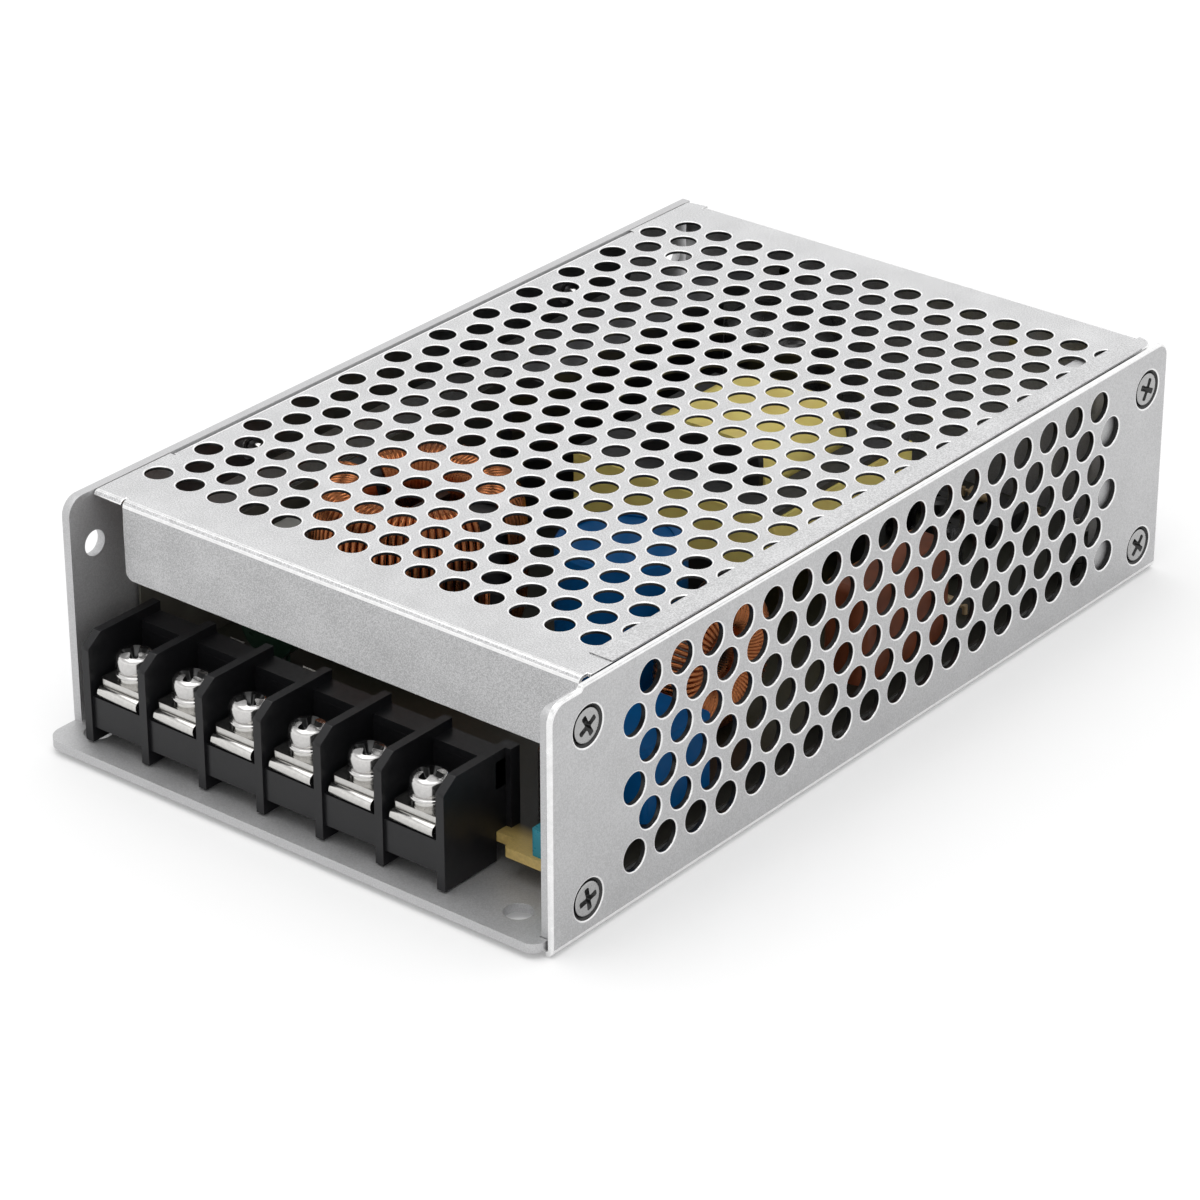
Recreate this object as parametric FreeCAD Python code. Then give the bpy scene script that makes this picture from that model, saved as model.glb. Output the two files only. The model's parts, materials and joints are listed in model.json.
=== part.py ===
import FreeCAD, Part
import math
import os
from FreeCAD import Vector

# An enclosed switching power supply in a folded sheet metal case with a perforated cover
# and a perforated side panel. Millimetres, +Z up. The terminals face -Y and the perforated
# side faces +X. The origin is the middle of the footprint, on the surface it stands on.

# Case. Setbacks are measured back from the front edge of the base plate.
LENGTH = 157.0
WIDTH = 98.0
HEIGHT = 40.0
SHEET = 1.5
PANEL_SHEET = 1.0
COVER_SHEET = 0.6
BEND_RADIUS = 0.4
FIT_GAP = 0.15
SEAM_GAP = 0.6
CORNER_RADIUS = 3.0
PANEL_SETBACK = 2.0
WALL_SETBACK = 6.5
COVER_SETBACK = 11.5
REAR_REVEAL = 0.3
PANEL_LIP = 0.7
PANEL_STEP = 0.6
PANEL_STEP_LENGTH = 7.0
FLANGE_INSET = 14.0
FLANGE_SETBACK = 10.0

# Cover
APRON_DROP = 13.0
APRON_INSET = 6.0
APRON_RELIEF = 0.8
APRON_STEP = 0.3
REAR_FLANGE_DROP = 10.0
COVER_LIP_DROP = 9.0
COVER_LIP_INSET = 17.0
COVER_BACK_RADIUS = 4.0
HEM_WIDTH = 4.7
HEM_RISE = 0.15
HEM_START = 6.5
HEM_SLIT = 0.6

# Perforation
TOP_HOLE_RADIUS = 2.2
TOP_PITCH = 6.5
TOP_ROW_PITCH = 5.45
TOP_LEFT_MARGIN = 3.45
TOP_RIGHT_MARGIN = 3.5
TOP_FRONT_MARGIN = 10.6
TOP_BACK_MARGIN = 9.0
SIDE_HOLE_RADIUS = 2.5
SIDE_PITCH = 7.1
SIDE_ROW_PITCH = 5.48
SIDE_LOW_MARGIN = 8.5
SIDE_TOP_MARGIN = 4.0
SIDE_FRONT_MARGIN = 18.4
SIDE_BACK_MARGIN = 15.5

# Chassis
TAB_DEPTH = 14.0
TAB_SETBACK = 0.8
TAB_TOP_GAP = 0.6
LEDGE_WIDTH = 8.0
REAR_RELIEF = 1.0
BASE_HOLE_RADIUS = 2.25
BASE_HOLE_INSET = 6.0
BASE_HOLE_LEFT = 5.5
BASE_HOLE_RIGHT = 9.5
REAR_HOLE_INSET = 25.0
REAR_HOLE_SPACING = 60.0
WALL_HOLE_RADIUS = 2.1
WALL_HOLE_INSET = 5.0
WALL_HOLE_LOW = 13.4
WALL_HOLE_HIGH = 31.2

# Case screws, countersunk
CASE_SCREW_RADIUS = 1.5
CASE_SCREW_LENGTH = 4.6
HEAD_SINK = 0.1
THREAD_GAP = 0.05
PANEL_SCREW_INSET = 8.0
PANEL_SCREW_BACK = 5.5
PANEL_SCREW_LOW = 6.2
PANEL_SCREW_HIGH = 34.0
LIP_SCREW_DROP = 5.2
LIP_SCREW_INSET = 34.0
REAR_SCREW_DROP = 5.6
REAR_SCREW_INSET = 24.0
RECESS_WIDTH = 0.7
RECESS_DEPTH = 1.0
FIRST_RECESS_TURN = 32.0
RECESS_TURN = 19.0

# Circuit board
STANDOFF_HEIGHT = 3.5
STANDOFF_RADIUS = 2.6
BOARD_THICKNESS = 1.6
BOARD_SIDE_GAP = 2.0
BOARD_SCREW_GAP = 0.5
BOARD_BACK_GAP = 3.0
BOARD_SCREW_RADIUS = 1.25
BOARD_SCREW_HEAD = 2.2
BOARD_SCREW_HEAD_HEIGHT = 1.6
BOARD_SCREW_INSET = 3.6
BOARD_SCREW_FRONT = 8.0
TONGUE_WIDTH = 12.0
TONGUE_REACH = 2.6
SHEET_FILM = 0.4
FILM_EDGE_HEIGHT = 22.0

# Terminal block
TERMINAL_WAYS = 6
TERMINAL_PITCH = 11.65
TERMINAL_SETBACK = 1.6
TERMINAL_INSET = 4.5
TERMINAL_DEPTH = 17.0
TERMINAL_HEIGHT = 20.5
TERMINAL_FOOT_GAP = 0.3
BARRIER = 1.5
BARRIER_CHAMFER_DEPTH = 4.2
BARRIER_CHAMFER_DROP = 3.0
BLOCK_FRONT_RECESS = 0.5
BLOCK_WALL = 1.4
BLOCK_WALL_LOW = 5.2
SEAT_TOP = 10.4
SEAT_THICKNESS = 2.8
REAR_WALL_SETBACK = 12.8
REAR_WALL_TOP = 17.6
SHELF_TOP = 14.4
EAR_WIDTH = 2.4
EAR_DEPTH = 4.0
BAR_WIDTH = 8.0
BAR_THICKNESS = 2.0
BAR_NOSE_SETBACK = 1.7
BAR_TAIL = 1.6
PIN_SIZE = 1.0
PIN_SPACING = 5.0
PIN_LENGTH = 1.0
SLOT_GAP = 0.1
SCREW_SETBACK = 6.2
SCREW_RADIUS = 1.7
SCREW_HEAD_RADIUS = 3.1
SCREW_HEAD_RIM = 1.2
SCREW_HEAD_HEIGHT = 2.8
SCREW_LENGTH = 9.0
CLAMP_WIDTH = 8.6
CLAMP_DEPTH = 6.8
CLAMP_THICKNESS = 1.0
CLAMP_GAP = 0.1
WASHER_RADIUS = 2.9
WASHER_THICKNESS = 0.9

# Voltage trimmer beside the terminals
TRIMMER_SIZE = 6.4
TRIMMER_HEIGHT = 4.4
ROTOR_RADIUS = 1.9
ROTOR_HEIGHT = 1.4
ROTOR_GAP = 0.08

# Transformer
CORE_LENGTH = 36.0
CORE_WIDTH = 39.0
CORE_HEIGHT = 12.0
CORE_LEG = 6.0
WINDING_WIDTH = 25.0
WINDING_HEIGHT = 24.0
BOBBIN_WALL = 1.2
BOBBIN_FOOT = 2.2
TAPE = 0.5

# Chokes
LINE_CHOKE_RADIUS = 17.0
LINE_CHOKE_BORE = 6.5
LINE_CHOKE_HEIGHT = 25.5
LINE_CHOKE_WIRE = 1.8
LINE_CHOKE_SWEEP = 160.0
CHOKE_BASE = 1.5
OUTPUT_CHOKE_RADIUS = 8.0
OUTPUT_CHOKE_TUBE = 4.0
OUTPUT_CHOKE_CORE = 2.8
OUTPUT_CHOKE_SWEEP = 330.0

# Capacitors: radius and height of the cans; width, length and height of the boxes
BLUE_RADIUS = 10.0
BLUE_HEIGHT = 27.5
BULK_RADIUS = 10.0
BULK_HEIGHT = 25.0
FRONT_RADIUS = 4.0
FRONT_HEIGHT = 12.0
SMALL_RADIUS = 2.5
SMALL_HEIGHT = 9.0
SLEEVE_LIP = 0.5
BLUE_BOX = Vector(11.0, 16.0, 12.0)
BROWN_BOX = Vector(8.0, 24.0, 16.0)
LINE_BOX = Vector(6.0, 18.0, 14.0)
BRIDGE_BOX = Vector(4.0, 18.0, 15.0)
THERMISTOR_RADIUS = 5.5
THERMISTOR_THICKNESS = 4.0

# Fuse
FUSE_LENGTH = 20.0
FUSE_RADIUS = 2.4
FUSE_CAP = 5.0
FUSE_CAP_WALL = 0.25
FUSE_LIFT = 1.2
CLIP_WALL = 0.5
CLIP_WIDTH = 3.0

# Heatsink and its power devices
HEATSINK_LENGTH = 56.0
HEATSINK_THICKNESS = 2.4
HEATSINK_TOP = 9.0
HEATSINK_TOP_GAP = 3.8
DEVICE_WIDTH = 10.4
DEVICE_HEIGHT = 15.0
DEVICE_THICKNESS = 4.5
DEVICE_TAB = 2.25
DEVICE_TAB_HEIGHT = 5.7
DEVICE_LIFT = 4.0
DEVICE_SETBACK = 16.0
DEVICE_SPACING = 24.0
LEAD = 0.7
LEAD_PITCH = 2.54
DEVICE_SCREW_RADIUS = 1.2
DEVICE_SCREW_HEAD = 2.6

# Control parts
CHIP_WIDTH = 6.4
CHIP_HEIGHT = 3.4
CHIP_LENGTH = 9.6
COUPLER_LENGTH = 4.6
CHIP_LIFT = 0.6
RESISTOR_RADIUS = 1.1
RESISTOR_LENGTH = 5.0
RESISTOR_SPAN = 8.4

# Layout of the board: insets from its left or right edge, setbacks from its front or back
PART_GAP = 1.4
LINE_CHOKE_INSET = 8.5
LINE_CHOKE_SETBACK = 22.0
OUTPUT_CHOKE_INSET = 10.5
OUTPUT_CHOKE_SETBACK = 32.0
BLUE_SETBACK = 31.5
BLUE_BOX_SETBACK = 14.5
BROWN_BOX_GAP = 11.5
FRONT_CAN_INSET = 10.0
FRONT_CAN_SETBACK = 9.0
LINE_BOX_INSET = 1.0
LINE_BOX_SETBACK = 27.5
BRIDGE_INSET = 2.5
BRIDGE_GAP = 6.0
THERMISTOR_INSET = 14.0
THERMISTOR_SETBACK = 18.5
FUSE_INSET = 20.0
FUSE_SETBACK = 10.0
HEATSINK_INSET = 11.0
HEATSINK_BACK_GAP = 5.0
BULK_BACK_GAP = 2.0
TRANSFORMER_GAP = 5.0
TRANSFORMER_INSET = 8.0
SMALL_INSET = 18.9
SMALL_PITCH = 7.0
SMALL_BACK_GAP = 22.8
CHIP_INSET = 13.9
CHIP_PITCH = 12.0
CHIP_BACK_GAP = 12.8
RESISTOR_BACK_GAP = 4.8

# Derived places
x_left = -WIDTH / 2
x_right = WIDTH / 2
y_front = -LENGTH / 2
y_back = LENGTH / 2
base_top = PANEL_SHEET + SHEET
fold_outer = BEND_RADIUS + SHEET
cover_fold = BEND_RADIUS + COVER_SHEET
panel_fold = BEND_RADIUS + PANEL_SHEET
panel_front = y_front + PANEL_SETBACK
panel_inner = x_right - PANEL_SHEET
wall_inner = x_left + SHEET
wall_front = y_front + WALL_SETBACK
chassis_right = panel_inner - FIT_GAP
cover_left = wall_inner + FIT_GAP
cover_right = panel_inner - SEAM_GAP
cover_front = y_front + COVER_SETBACK
cover_back = y_back - REAR_REVEAL
cover_under = HEIGHT - COVER_SHEET
rear_wall_out = cover_back - COVER_SHEET - FIT_GAP
rear_wall_in = rear_wall_out - SHEET
tab_top = cover_under - TAB_TOP_GAP
tab_front = panel_front + TAB_SETBACK
apron_left = cover_left + APRON_INSET
apron_right = chassis_right - SHEET - FIT_GAP
board_under = base_top + STANDOFF_HEIGHT
board_top = board_under + BOARD_THICKNESS
board_left = wall_inner + BOARD_SIDE_GAP
board_right = x_right - CASE_SCREW_LENGTH - BOARD_SCREW_GAP
board_back = rear_wall_in - BOARD_BACK_GAP
block_front = y_front + TERMINAL_SETBACK
block_back = block_front + TERMINAL_DEPTH
block_left = wall_inner + TERMINAL_INSET
block_right = block_left + TERMINAL_WAYS * TERMINAL_PITCH + BARRIER
block_step = block_front + REAR_WALL_SETBACK
board_front = block_step + SLOT_GAP
screw_y = block_front + SCREW_SETBACK
bar_top = SEAT_TOP + BAR_THICKNESS
case_head_radius = CASE_SCREW_RADIUS - THREAD_GAP + SHEET + FIT_GAP - HEAD_SINK
clamp_low = bar_top + CLAMP_GAP
washer_low = clamp_low + CLAMP_THICKNESS
head_low = washer_low + WASHER_THICKNESS


def box(x0, x1, y0, y1, z0, z1):
    """A block between two opposite corners."""
    return Part.makeBox(x1 - x0, y1 - y0, z1 - z0, Vector(x0, y0, z0))


def disc(radius, length, foot, axis):
    """A cylinder that starts at foot and runs along axis."""
    return Part.makeCylinder(radius, length, foot, axis)


UP = Vector(0, 0, 1)
RIGHT = Vector(1, 0, 0)
BACK = Vector(0, 1, 0)


def round_wire(points, radii):
    """A closed outline whose corners have the given radii, nought for a sharp one."""
    count = len(points)
    edges = []
    ends = []
    for i in range(count):
        point = points[i]
        before = (points[i - 1] - point).normalize()
        after = (points[(i + 1) % count] - point).normalize()
        if radii[i] == 0:
            ends.append((point, None, point))
            continue
        half = before.getAngle(after) / 2
        reach = radii[i] / math.tan(half)
        inward = (before + after).normalize()
        middle = point + inward * (radii[i] / math.sin(half) - radii[i])
        ends.append((point + before * reach, middle, point + after * reach))
    for i in range(count):
        start, middle, end = ends[i]
        previous = ends[i - 1][2]
        if previous.distanceToPoint(start) > 1e-6:
            edges.append(Part.LineSegment(previous, start).toShape())
        if middle is not None:
            edges.append(Part.Arc(start, middle, end).toShape())
    return Part.Wire(Part.__sortEdges__(edges))


def plate(points, radii, z, thickness):
    """A flat plate from an outline in X and Y."""
    outline = [Vector(x, y, z) for x, y in points]
    return Part.Face(round_wire(outline, radii)).extrude(UP * thickness)


def slab_y(points, radii, y, length):
    """A prism along Y from an outline in X and Z."""
    outline = [Vector(x, y, z) for x, z in points]
    return Part.Face(round_wire(outline, radii)).extrude(BACK * length)


def slab_x(points, radii, x, length):
    """A prism along X from an outline in Y and Z."""
    outline = [Vector(x, y, z) for y, z in points]
    return Part.Face(round_wire(outline, radii)).extrude(RIGHT * length)


def fold_outline(heel, arm_end, rise_end, thickness):
    """The section of a folded strip: its outer corner, and where its two arms end."""
    side = math.copysign(thickness, arm_end - heel[0])
    lift = math.copysign(thickness, rise_end - heel[1])
    points = [heel,
              (arm_end, heel[1]),
              (arm_end, heel[1] + lift),
              (heel[0] + side, heel[1] + lift),
              (heel[0] + side, rise_end),
              (heel[0], rise_end)]
    return points, [BEND_RADIUS + thickness, 0, 0, BEND_RADIUS, 0, 0]


def fuse(first, *others):
    """One solid from pieces that touch, without the seams between them."""
    return first.fuse(list(others)).removeSplitter()


def grid_count(span, pitch):
    """How many places at this pitch fit a span, both ends included."""
    return int(math.floor(span / pitch + 1e-6)) + 1


def cross_recess(radius, depth, width):
    """A cross that narrows with depth, cut down into a screw head from the origin."""
    arms = []
    for turn in (0, 90):
        arm = Part.makeWedge(-radius, 0, -width / 2, -width / 4, -radius * 0.35,
                             radius, depth, width / 2, width / 4, radius * 0.35)
        arm.rotate(Vector(0, 0, 0), RIGHT, -90)
        arm.rotate(Vector(0, 0, 0), UP, turn)
        arms.append(arm)
    return arms[0].fuse(arms[1])


def turned(profile, axis_point):
    """A solid of revolution about +Z from points of radius and height."""
    points = [Vector(axis_point.x + r, axis_point.y, z) for r, z in profile]
    face = Part.Face(Part.makePolygon(points + points[:1]))
    return face.revolve(axis_point, UP, 360)


def aim(solid, place, axis):
    """Moves a solid made at the origin along +Z to a place, facing along axis."""
    solid.Placement = FreeCAD.Placement(place, FreeCAD.Rotation(UP, axis))
    return solid


# Case screws. Every countersunk screw in the case is the same one.

def countersunk_screw():
    """A flat head screw that faces +Z, sunk a little below the sheet's face at the origin."""
    shank = CASE_SCREW_RADIUS - THREAD_GAP
    screw = turned([(0, -HEAD_SINK), (case_head_radius, -HEAD_SINK),
                    (shank, -HEAD_SINK - case_head_radius + shank),
                    (shank, -CASE_SCREW_LENGTH), (0, -CASE_SCREW_LENGTH)], Vector(0, 0, 0))
    recess = cross_recess(case_head_radius * 0.6, RECESS_DEPTH, RECESS_WIDTH)
    recess.translate(UP * -HEAD_SINK)
    return screw.cut(recess)


def countersink():
    """The hole a countersunk screw sits in, facing +Z with its mouth at the origin."""
    mouth = case_head_radius + HEAD_SINK
    return turned([(0, 1), (mouth + 1, 1), (CASE_SCREW_RADIUS, CASE_SCREW_RADIUS - mouth),
                   (CASE_SCREW_RADIUS, -2 * CASE_SCREW_LENGTH), (0, -2 * CASE_SCREW_LENGTH)],
                  Vector(0, 0, 0))


panel_screw_places = [Vector(x_right, y, z)
                      for y in (panel_front + PANEL_SCREW_INSET, y_back - PANEL_SCREW_BACK)
                      for z in (PANEL_SCREW_LOW, PANEL_SCREW_HIGH)]
lip_screw_places = [Vector(x_left, y, HEIGHT - LIP_SCREW_DROP)
                    for y in (cover_front + LIP_SCREW_INSET, cover_back - LIP_SCREW_INSET)]
rear_screw_places = [Vector(x, cover_back, HEIGHT - REAR_SCREW_DROP)
                     for x in (cover_left + REAR_SCREW_INSET, cover_right - REAR_SCREW_INSET)]


def panel_screws():
    return Part.makeCompound([aim(countersunk_screw(), place, RIGHT)
                              for place in panel_screw_places])


def cover_screws():
    left = [aim(countersunk_screw(), place, RIGHT * -1) for place in lip_screw_places]
    rear = [aim(countersunk_screw(), place, BACK) for place in rear_screw_places]
    return Part.makeCompound(left + rear)


# Chassis: base plate, left wall, rear wall and two tabs on the right, folded from one sheet

wall_hole_places = [(y, z)
                    for y in (wall_front + WALL_HOLE_INSET, y_back - WALL_HOLE_INSET)
                    for z in (WALL_HOLE_LOW, WALL_HOLE_HIGH)]
base_hole_places = [(x_left + BASE_HOLE_LEFT, y_front + BASE_HOLE_INSET),
                    (x_right - BASE_HOLE_RIGHT, y_front + BASE_HOLE_INSET)]
rear_hole_places = [(side * REAR_HOLE_SPACING / 2, y_back - REAR_HOLE_INSET)
                    for side in (-1, 1)]
standoff_places = [(x, y)
                   for x in (board_left + BOARD_SCREW_INSET, board_right - BOARD_SCREW_INSET)
                   for y in (board_front + BOARD_SCREW_FRONT, board_back - BOARD_SCREW_INSET)]


def front_tab():
    """The upright tab at the front right, which carries the side panel and nothing on top."""
    points, radii = fold_outline((chassis_right, PANEL_SHEET), chassis_right - 3 * fold_outer,
                                 tab_top, SHEET)
    tab = slab_y(points, radii, tab_front, TAB_DEPTH)
    corner = [edge for edge in tab.Edges
              if abs(edge.CenterOfMass.z - tab_top) < 1e-6 and edge.Length < SHEET * 1.01]
    return tab.makeFillet(CORNER_RADIUS / 2, corner)


def rear_tab():
    """The upright tab at the rear right, turned in again as a ledge under the cover."""
    split = HEIGHT / 2
    low, low_radii = fold_outline((chassis_right, PANEL_SHEET), chassis_right - 3 * fold_outer,
                                  split, SHEET)
    high, high_radii = fold_outline((chassis_right, cover_under - FIT_GAP),
                                    chassis_right - LEDGE_WIDTH, split, SHEET)
    front = rear_wall_in - TAB_DEPTH
    return fuse(slab_y(low, low_radii, front, TAB_DEPTH),
                slab_y(high, high_radii, front, TAB_DEPTH))


def chassis():
    base_right = panel_inner - BEND_RADIUS
    base = plate([(x_left, y_front), (base_right, y_front),
                  (base_right, tab_front - FIT_GAP),
                  (chassis_right - fold_outer, tab_front - FIT_GAP),
                  (chassis_right - fold_outer, rear_wall_out - fold_outer),
                  (x_left + fold_outer, rear_wall_out - fold_outer),
                  (x_left + fold_outer, wall_front), (x_left, wall_front)],
                 [CORNER_RADIUS, (tab_front - y_front) * 0.8] + [0] * 6, PANEL_SHEET, SHEET)
    points, radii = fold_outline((x_left, PANEL_SHEET), x_left + 3 * fold_outer, HEIGHT, SHEET)
    wall = slab_y(points, radii, wall_front, cover_back - wall_front)
    wall_corner = [edge for edge in wall.Edges
                   if abs(edge.CenterOfMass.z - HEIGHT) < 1e-6 and edge.Length < SHEET * 1.01
                   and edge.CenterOfMass.y < 0]
    wall = wall.makeFillet(CORNER_RADIUS, wall_corner)
    points, radii = fold_outline((rear_wall_out, PANEL_SHEET), rear_wall_out - 3 * fold_outer,
                                 tab_top, SHEET)
    rear = slab_x(points, radii, wall_inner + REAR_RELIEF,
                  chassis_right - SHEET - REAR_RELIEF - wall_inner - REAR_RELIEF)
    shell = fuse(base, wall, rear, front_tab(), rear_tab())
    cuts = [aim(countersink(), place, RIGHT) for place in panel_screw_places]
    cuts += [aim(countersink(), place, BACK) for place in rear_screw_places]
    cuts += [aim(countersink(), place, RIGHT * -1) for place in lip_screw_places]
    cuts += [disc(BASE_HOLE_RADIUS, 3 * SHEET, Vector(x, y, 0), UP)
             for x, y in base_hole_places + rear_hole_places]
    cuts += [disc(WALL_HOLE_RADIUS, 3 * SHEET, Vector(x_left - SHEET, y, z), RIGHT)
             for y, z in wall_hole_places]
    cuts += [disc(STANDOFF_RADIUS - 0.6, 3 * SHEET, Vector(x, y, 0), UP)
             for x, y in standoff_places]
    return shell.cut(cuts)


# Side panel: perforated wall with a foot flange under the base plate

def staggered(first_u, last_u, pitch, first_v, last_v, row_pitch):
    """Centres of rows that are set over by half a pitch, row by row."""
    places = []
    for row in range(grid_count(last_v - first_v, row_pitch)):
        start = first_u + (pitch / 2 if row % 2 else 0)
        for i in range(grid_count(last_u - start, pitch)):
            places.append((start + i * pitch, first_v + row * row_pitch))
    return places


def side_panel():
    flange_left = x_left + FLANGE_INSET
    points, radii = fold_outline((x_right, 0), flange_left, HEIGHT + PANEL_LIP, PANEL_SHEET)
    panel = slab_y(points, radii, panel_front, y_back - panel_front)
    bend_end = x_right - panel_fold
    mitre = plate([(flange_left - 1, panel_front - 1), (bend_end, panel_front - 1),
                   (bend_end, panel_front),
                   (bend_end - FLANGE_SETBACK, panel_front + FLANGE_SETBACK),
                   (flange_left - 1, panel_front + FLANGE_SETBACK)],
                  [0, 0, 0, CORNER_RADIUS, 0], -1, PANEL_SHEET + 1)
    step = box(panel_inner - 1, x_right + 1, panel_front - 1, panel_front + PANEL_STEP_LENGTH,
               HEIGHT + PANEL_LIP - PANEL_STEP, HEIGHT + PANEL_LIP + 1)
    panel = panel.cut([mitre, step])
    corners = [edge for edge in panel.Edges
               if edge.Length < PANEL_SHEET * 1.01 and edge.CenterOfMass.z > HEIGHT
               and min(abs(edge.CenterOfMass.y - y) for y in (panel_front, y_back)) < 1e-6
               and abs(edge.Vertexes[0].Point.x - edge.Vertexes[-1].Point.x) > 1e-6]
    panel = panel.makeFillet(CORNER_RADIUS, corners)
    places = staggered(panel_front + SIDE_FRONT_MARGIN, y_back - SIDE_BACK_MARGIN, SIDE_PITCH,
                       SIDE_LOW_MARGIN, HEIGHT - SIDE_TOP_MARGIN, SIDE_ROW_PITCH)
    cuts = [disc(SIDE_HOLE_RADIUS, 3 * PANEL_SHEET, Vector(panel_inner - PANEL_SHEET, y, z), RIGHT)
            for y, z in places]
    cuts += [aim(countersink(), place, RIGHT) for place in panel_screw_places]
    cuts += [disc(BASE_HOLE_RADIUS, 3 * PANEL_SHEET, Vector(x, y, -PANEL_SHEET), UP)
             for x, y in rear_hole_places]
    return panel.cut(cuts)


# Cover: perforated top, front apron, rear flange and left lip, folded from one sheet

def top_cover():
    lip_front = cover_front + COVER_LIP_INSET
    lip_back = cover_back - COVER_LIP_INSET
    relief = cover_front + cover_fold + APRON_RELIEF
    rear_left = cover_left + COVER_BACK_RADIUS
    rear_right = cover_right - COVER_BACK_RADIUS
    top = plate([(cover_left, cover_front + cover_fold),
                 (apron_right, cover_front + cover_fold), (apron_right, relief),
                 (cover_right, relief), (cover_right, cover_back), (rear_right, cover_back),
                 (rear_right, cover_back - cover_fold), (rear_left, cover_back - cover_fold),
                 (rear_left, cover_back), (cover_left, cover_back),
                 (cover_left, lip_back), (cover_left + cover_fold, lip_back),
                 (cover_left + cover_fold, lip_front), (cover_left, lip_front)],
                [0, 0, 0, 0, COVER_BACK_RADIUS, 0, 0, 0, 0, COVER_BACK_RADIUS, 0, 0, 0, 0],
                cover_under, COVER_SHEET)
    points, radii = fold_outline((cover_front, HEIGHT), cover_front + 3 * cover_fold,
                                 HEIGHT - APRON_DROP, COVER_SHEET)
    apron = slab_x(points, radii, apron_left, apron_right - apron_left)
    points, radii = fold_outline((cover_front + APRON_STEP, HEIGHT),
                                 cover_front + 3 * cover_fold, HEIGHT - 1.2 * cover_fold,
                                 COVER_SHEET)
    ear = slab_x(points, radii, cover_left, apron_left - APRON_STEP - cover_left)
    apron_corners = [edge for edge in apron.Edges
                     if abs(edge.CenterOfMass.z - HEIGHT + APRON_DROP) < 1e-6
                     and edge.Length < COVER_SHEET * 1.01]
    apron = apron.makeFillet(CORNER_RADIUS / 2, apron_corners)
    points, radii = fold_outline((cover_back, HEIGHT), cover_back - 3 * cover_fold,
                                 HEIGHT - REAR_FLANGE_DROP, COVER_SHEET)
    rear = slab_x(points, radii, rear_left, rear_right - rear_left)
    points, radii = fold_outline((cover_left, HEIGHT), cover_left + 3 * cover_fold,
                                 HEIGHT - COVER_LIP_DROP, COVER_SHEET)
    lip = slab_y(points, radii, lip_front, lip_back - lip_front)
    cover = fuse(top, apron, ear, rear, lip)
    first_x = cover_left + TOP_LEFT_MARGIN
    places = staggered(first_x, cover_right - TOP_RIGHT_MARGIN, TOP_PITCH,
                       cover_front + TOP_FRONT_MARGIN, cover_back - TOP_BACK_MARGIN,
                       TOP_ROW_PITCH)
    cuts = [disc(TOP_HOLE_RADIUS, 3 * COVER_SHEET, Vector(x, y, cover_under - COVER_SHEET), UP)
            for x, y in places]
    cuts += [aim(countersink(), place, BACK) for place in rear_screw_places]
    cuts += [aim(countersink(), place, RIGHT * -1) for place in lip_screw_places]
    cover = cover.cut(cuts)
    hem_front = cover_front + HEM_START
    hem = box(cover_right - HEM_WIDTH, cover_right, hem_front,
              cover_back - COVER_BACK_RADIUS, cover_under, HEIGHT + HEM_RISE)
    slit = box(cover_right - HEM_WIDTH, cover_right + 1, hem_front - HEM_SLIT, hem_front,
               cover_under - 1, HEIGHT + 1)
    return fuse(cover.cut(slit), hem)


# Circuit board, what carries it and the insulating film under it

def circuit_board():
    tongue_left = board_right - TONGUE_WIDTH
    board = plate([(board_left, board_front), (tongue_left, board_front),
                   (tongue_left, board_front - TONGUE_REACH),
                   (board_right, board_front - TONGUE_REACH),
                   (board_right, board_back), (board_left, board_back)],
                  [0.5] * 6, board_under, BOARD_THICKNESS)
    cuts = [disc(BOARD_SCREW_RADIUS + THREAD_GAP, 3 * BOARD_THICKNESS,
                 Vector(x, y, board_under - 1), UP) for x, y in standoff_places]
    cuts += [disc(PIN_SIZE, 3 * BOARD_THICKNESS, Vector(x, y, board_under - 1), UP)
             for x, y in pin_places()]
    return board.cut(cuts)


def board_standoffs():
    posts = []
    for x, y in standoff_places:
        post = turned([(BOARD_SCREW_RADIUS, board_under), (STANDOFF_RADIUS, board_under),
                       (STANDOFF_RADIUS, base_top), (STANDOFF_RADIUS - 0.6, base_top),
                       (STANDOFF_RADIUS - 0.6, PANEL_SHEET), (BOARD_SCREW_RADIUS, PANEL_SHEET)],
                      Vector(x, y, 0))
        posts.append(post)
    return Part.makeCompound(posts)


def board_screws():
    screws = []
    shank = BOARD_SCREW_RADIUS - THREAD_GAP
    for x, y in standoff_places:
        screw = turned([(0, board_top + BOARD_SCREW_HEAD_HEIGHT),
                        (BOARD_SCREW_HEAD * 0.7, board_top + BOARD_SCREW_HEAD_HEIGHT),
                        (BOARD_SCREW_HEAD, board_top + BOARD_SCREW_HEAD_HEIGHT * 0.6),
                        (BOARD_SCREW_HEAD, board_top), (shank, board_top),
                        (shank, base_top), (0, base_top)], Vector(x, y, 0))
        recess = cross_recess(BOARD_SCREW_HEAD * 0.6, RECESS_DEPTH, RECESS_WIDTH)
        recess.translate(Vector(x, y, board_top + BOARD_SCREW_HEAD_HEIGHT))
        screws.append(screw.cut(recess))
    return Part.makeCompound(screws)


def insulation_sheet():
    left = wall_inner + BOARD_SIDE_GAP / 4
    points, radii = fold_outline((left, base_top), board_right, base_top + FILM_EDGE_HEIGHT,
                                 SHEET_FILM)
    film = slab_y(points, radii, block_back + 1, board_back - block_back)
    cuts = [disc(STANDOFF_RADIUS + SLOT_GAP, 2, Vector(x, y, base_top - 1), UP)
            for x, y in standoff_places]
    return film.cut(cuts)


# Terminal block

def way_middle(way):
    """The X of a terminal way's middle, counted from the left."""
    return block_left + BARRIER / 2 + (way + 0.5) * TERMINAL_PITCH


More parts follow.
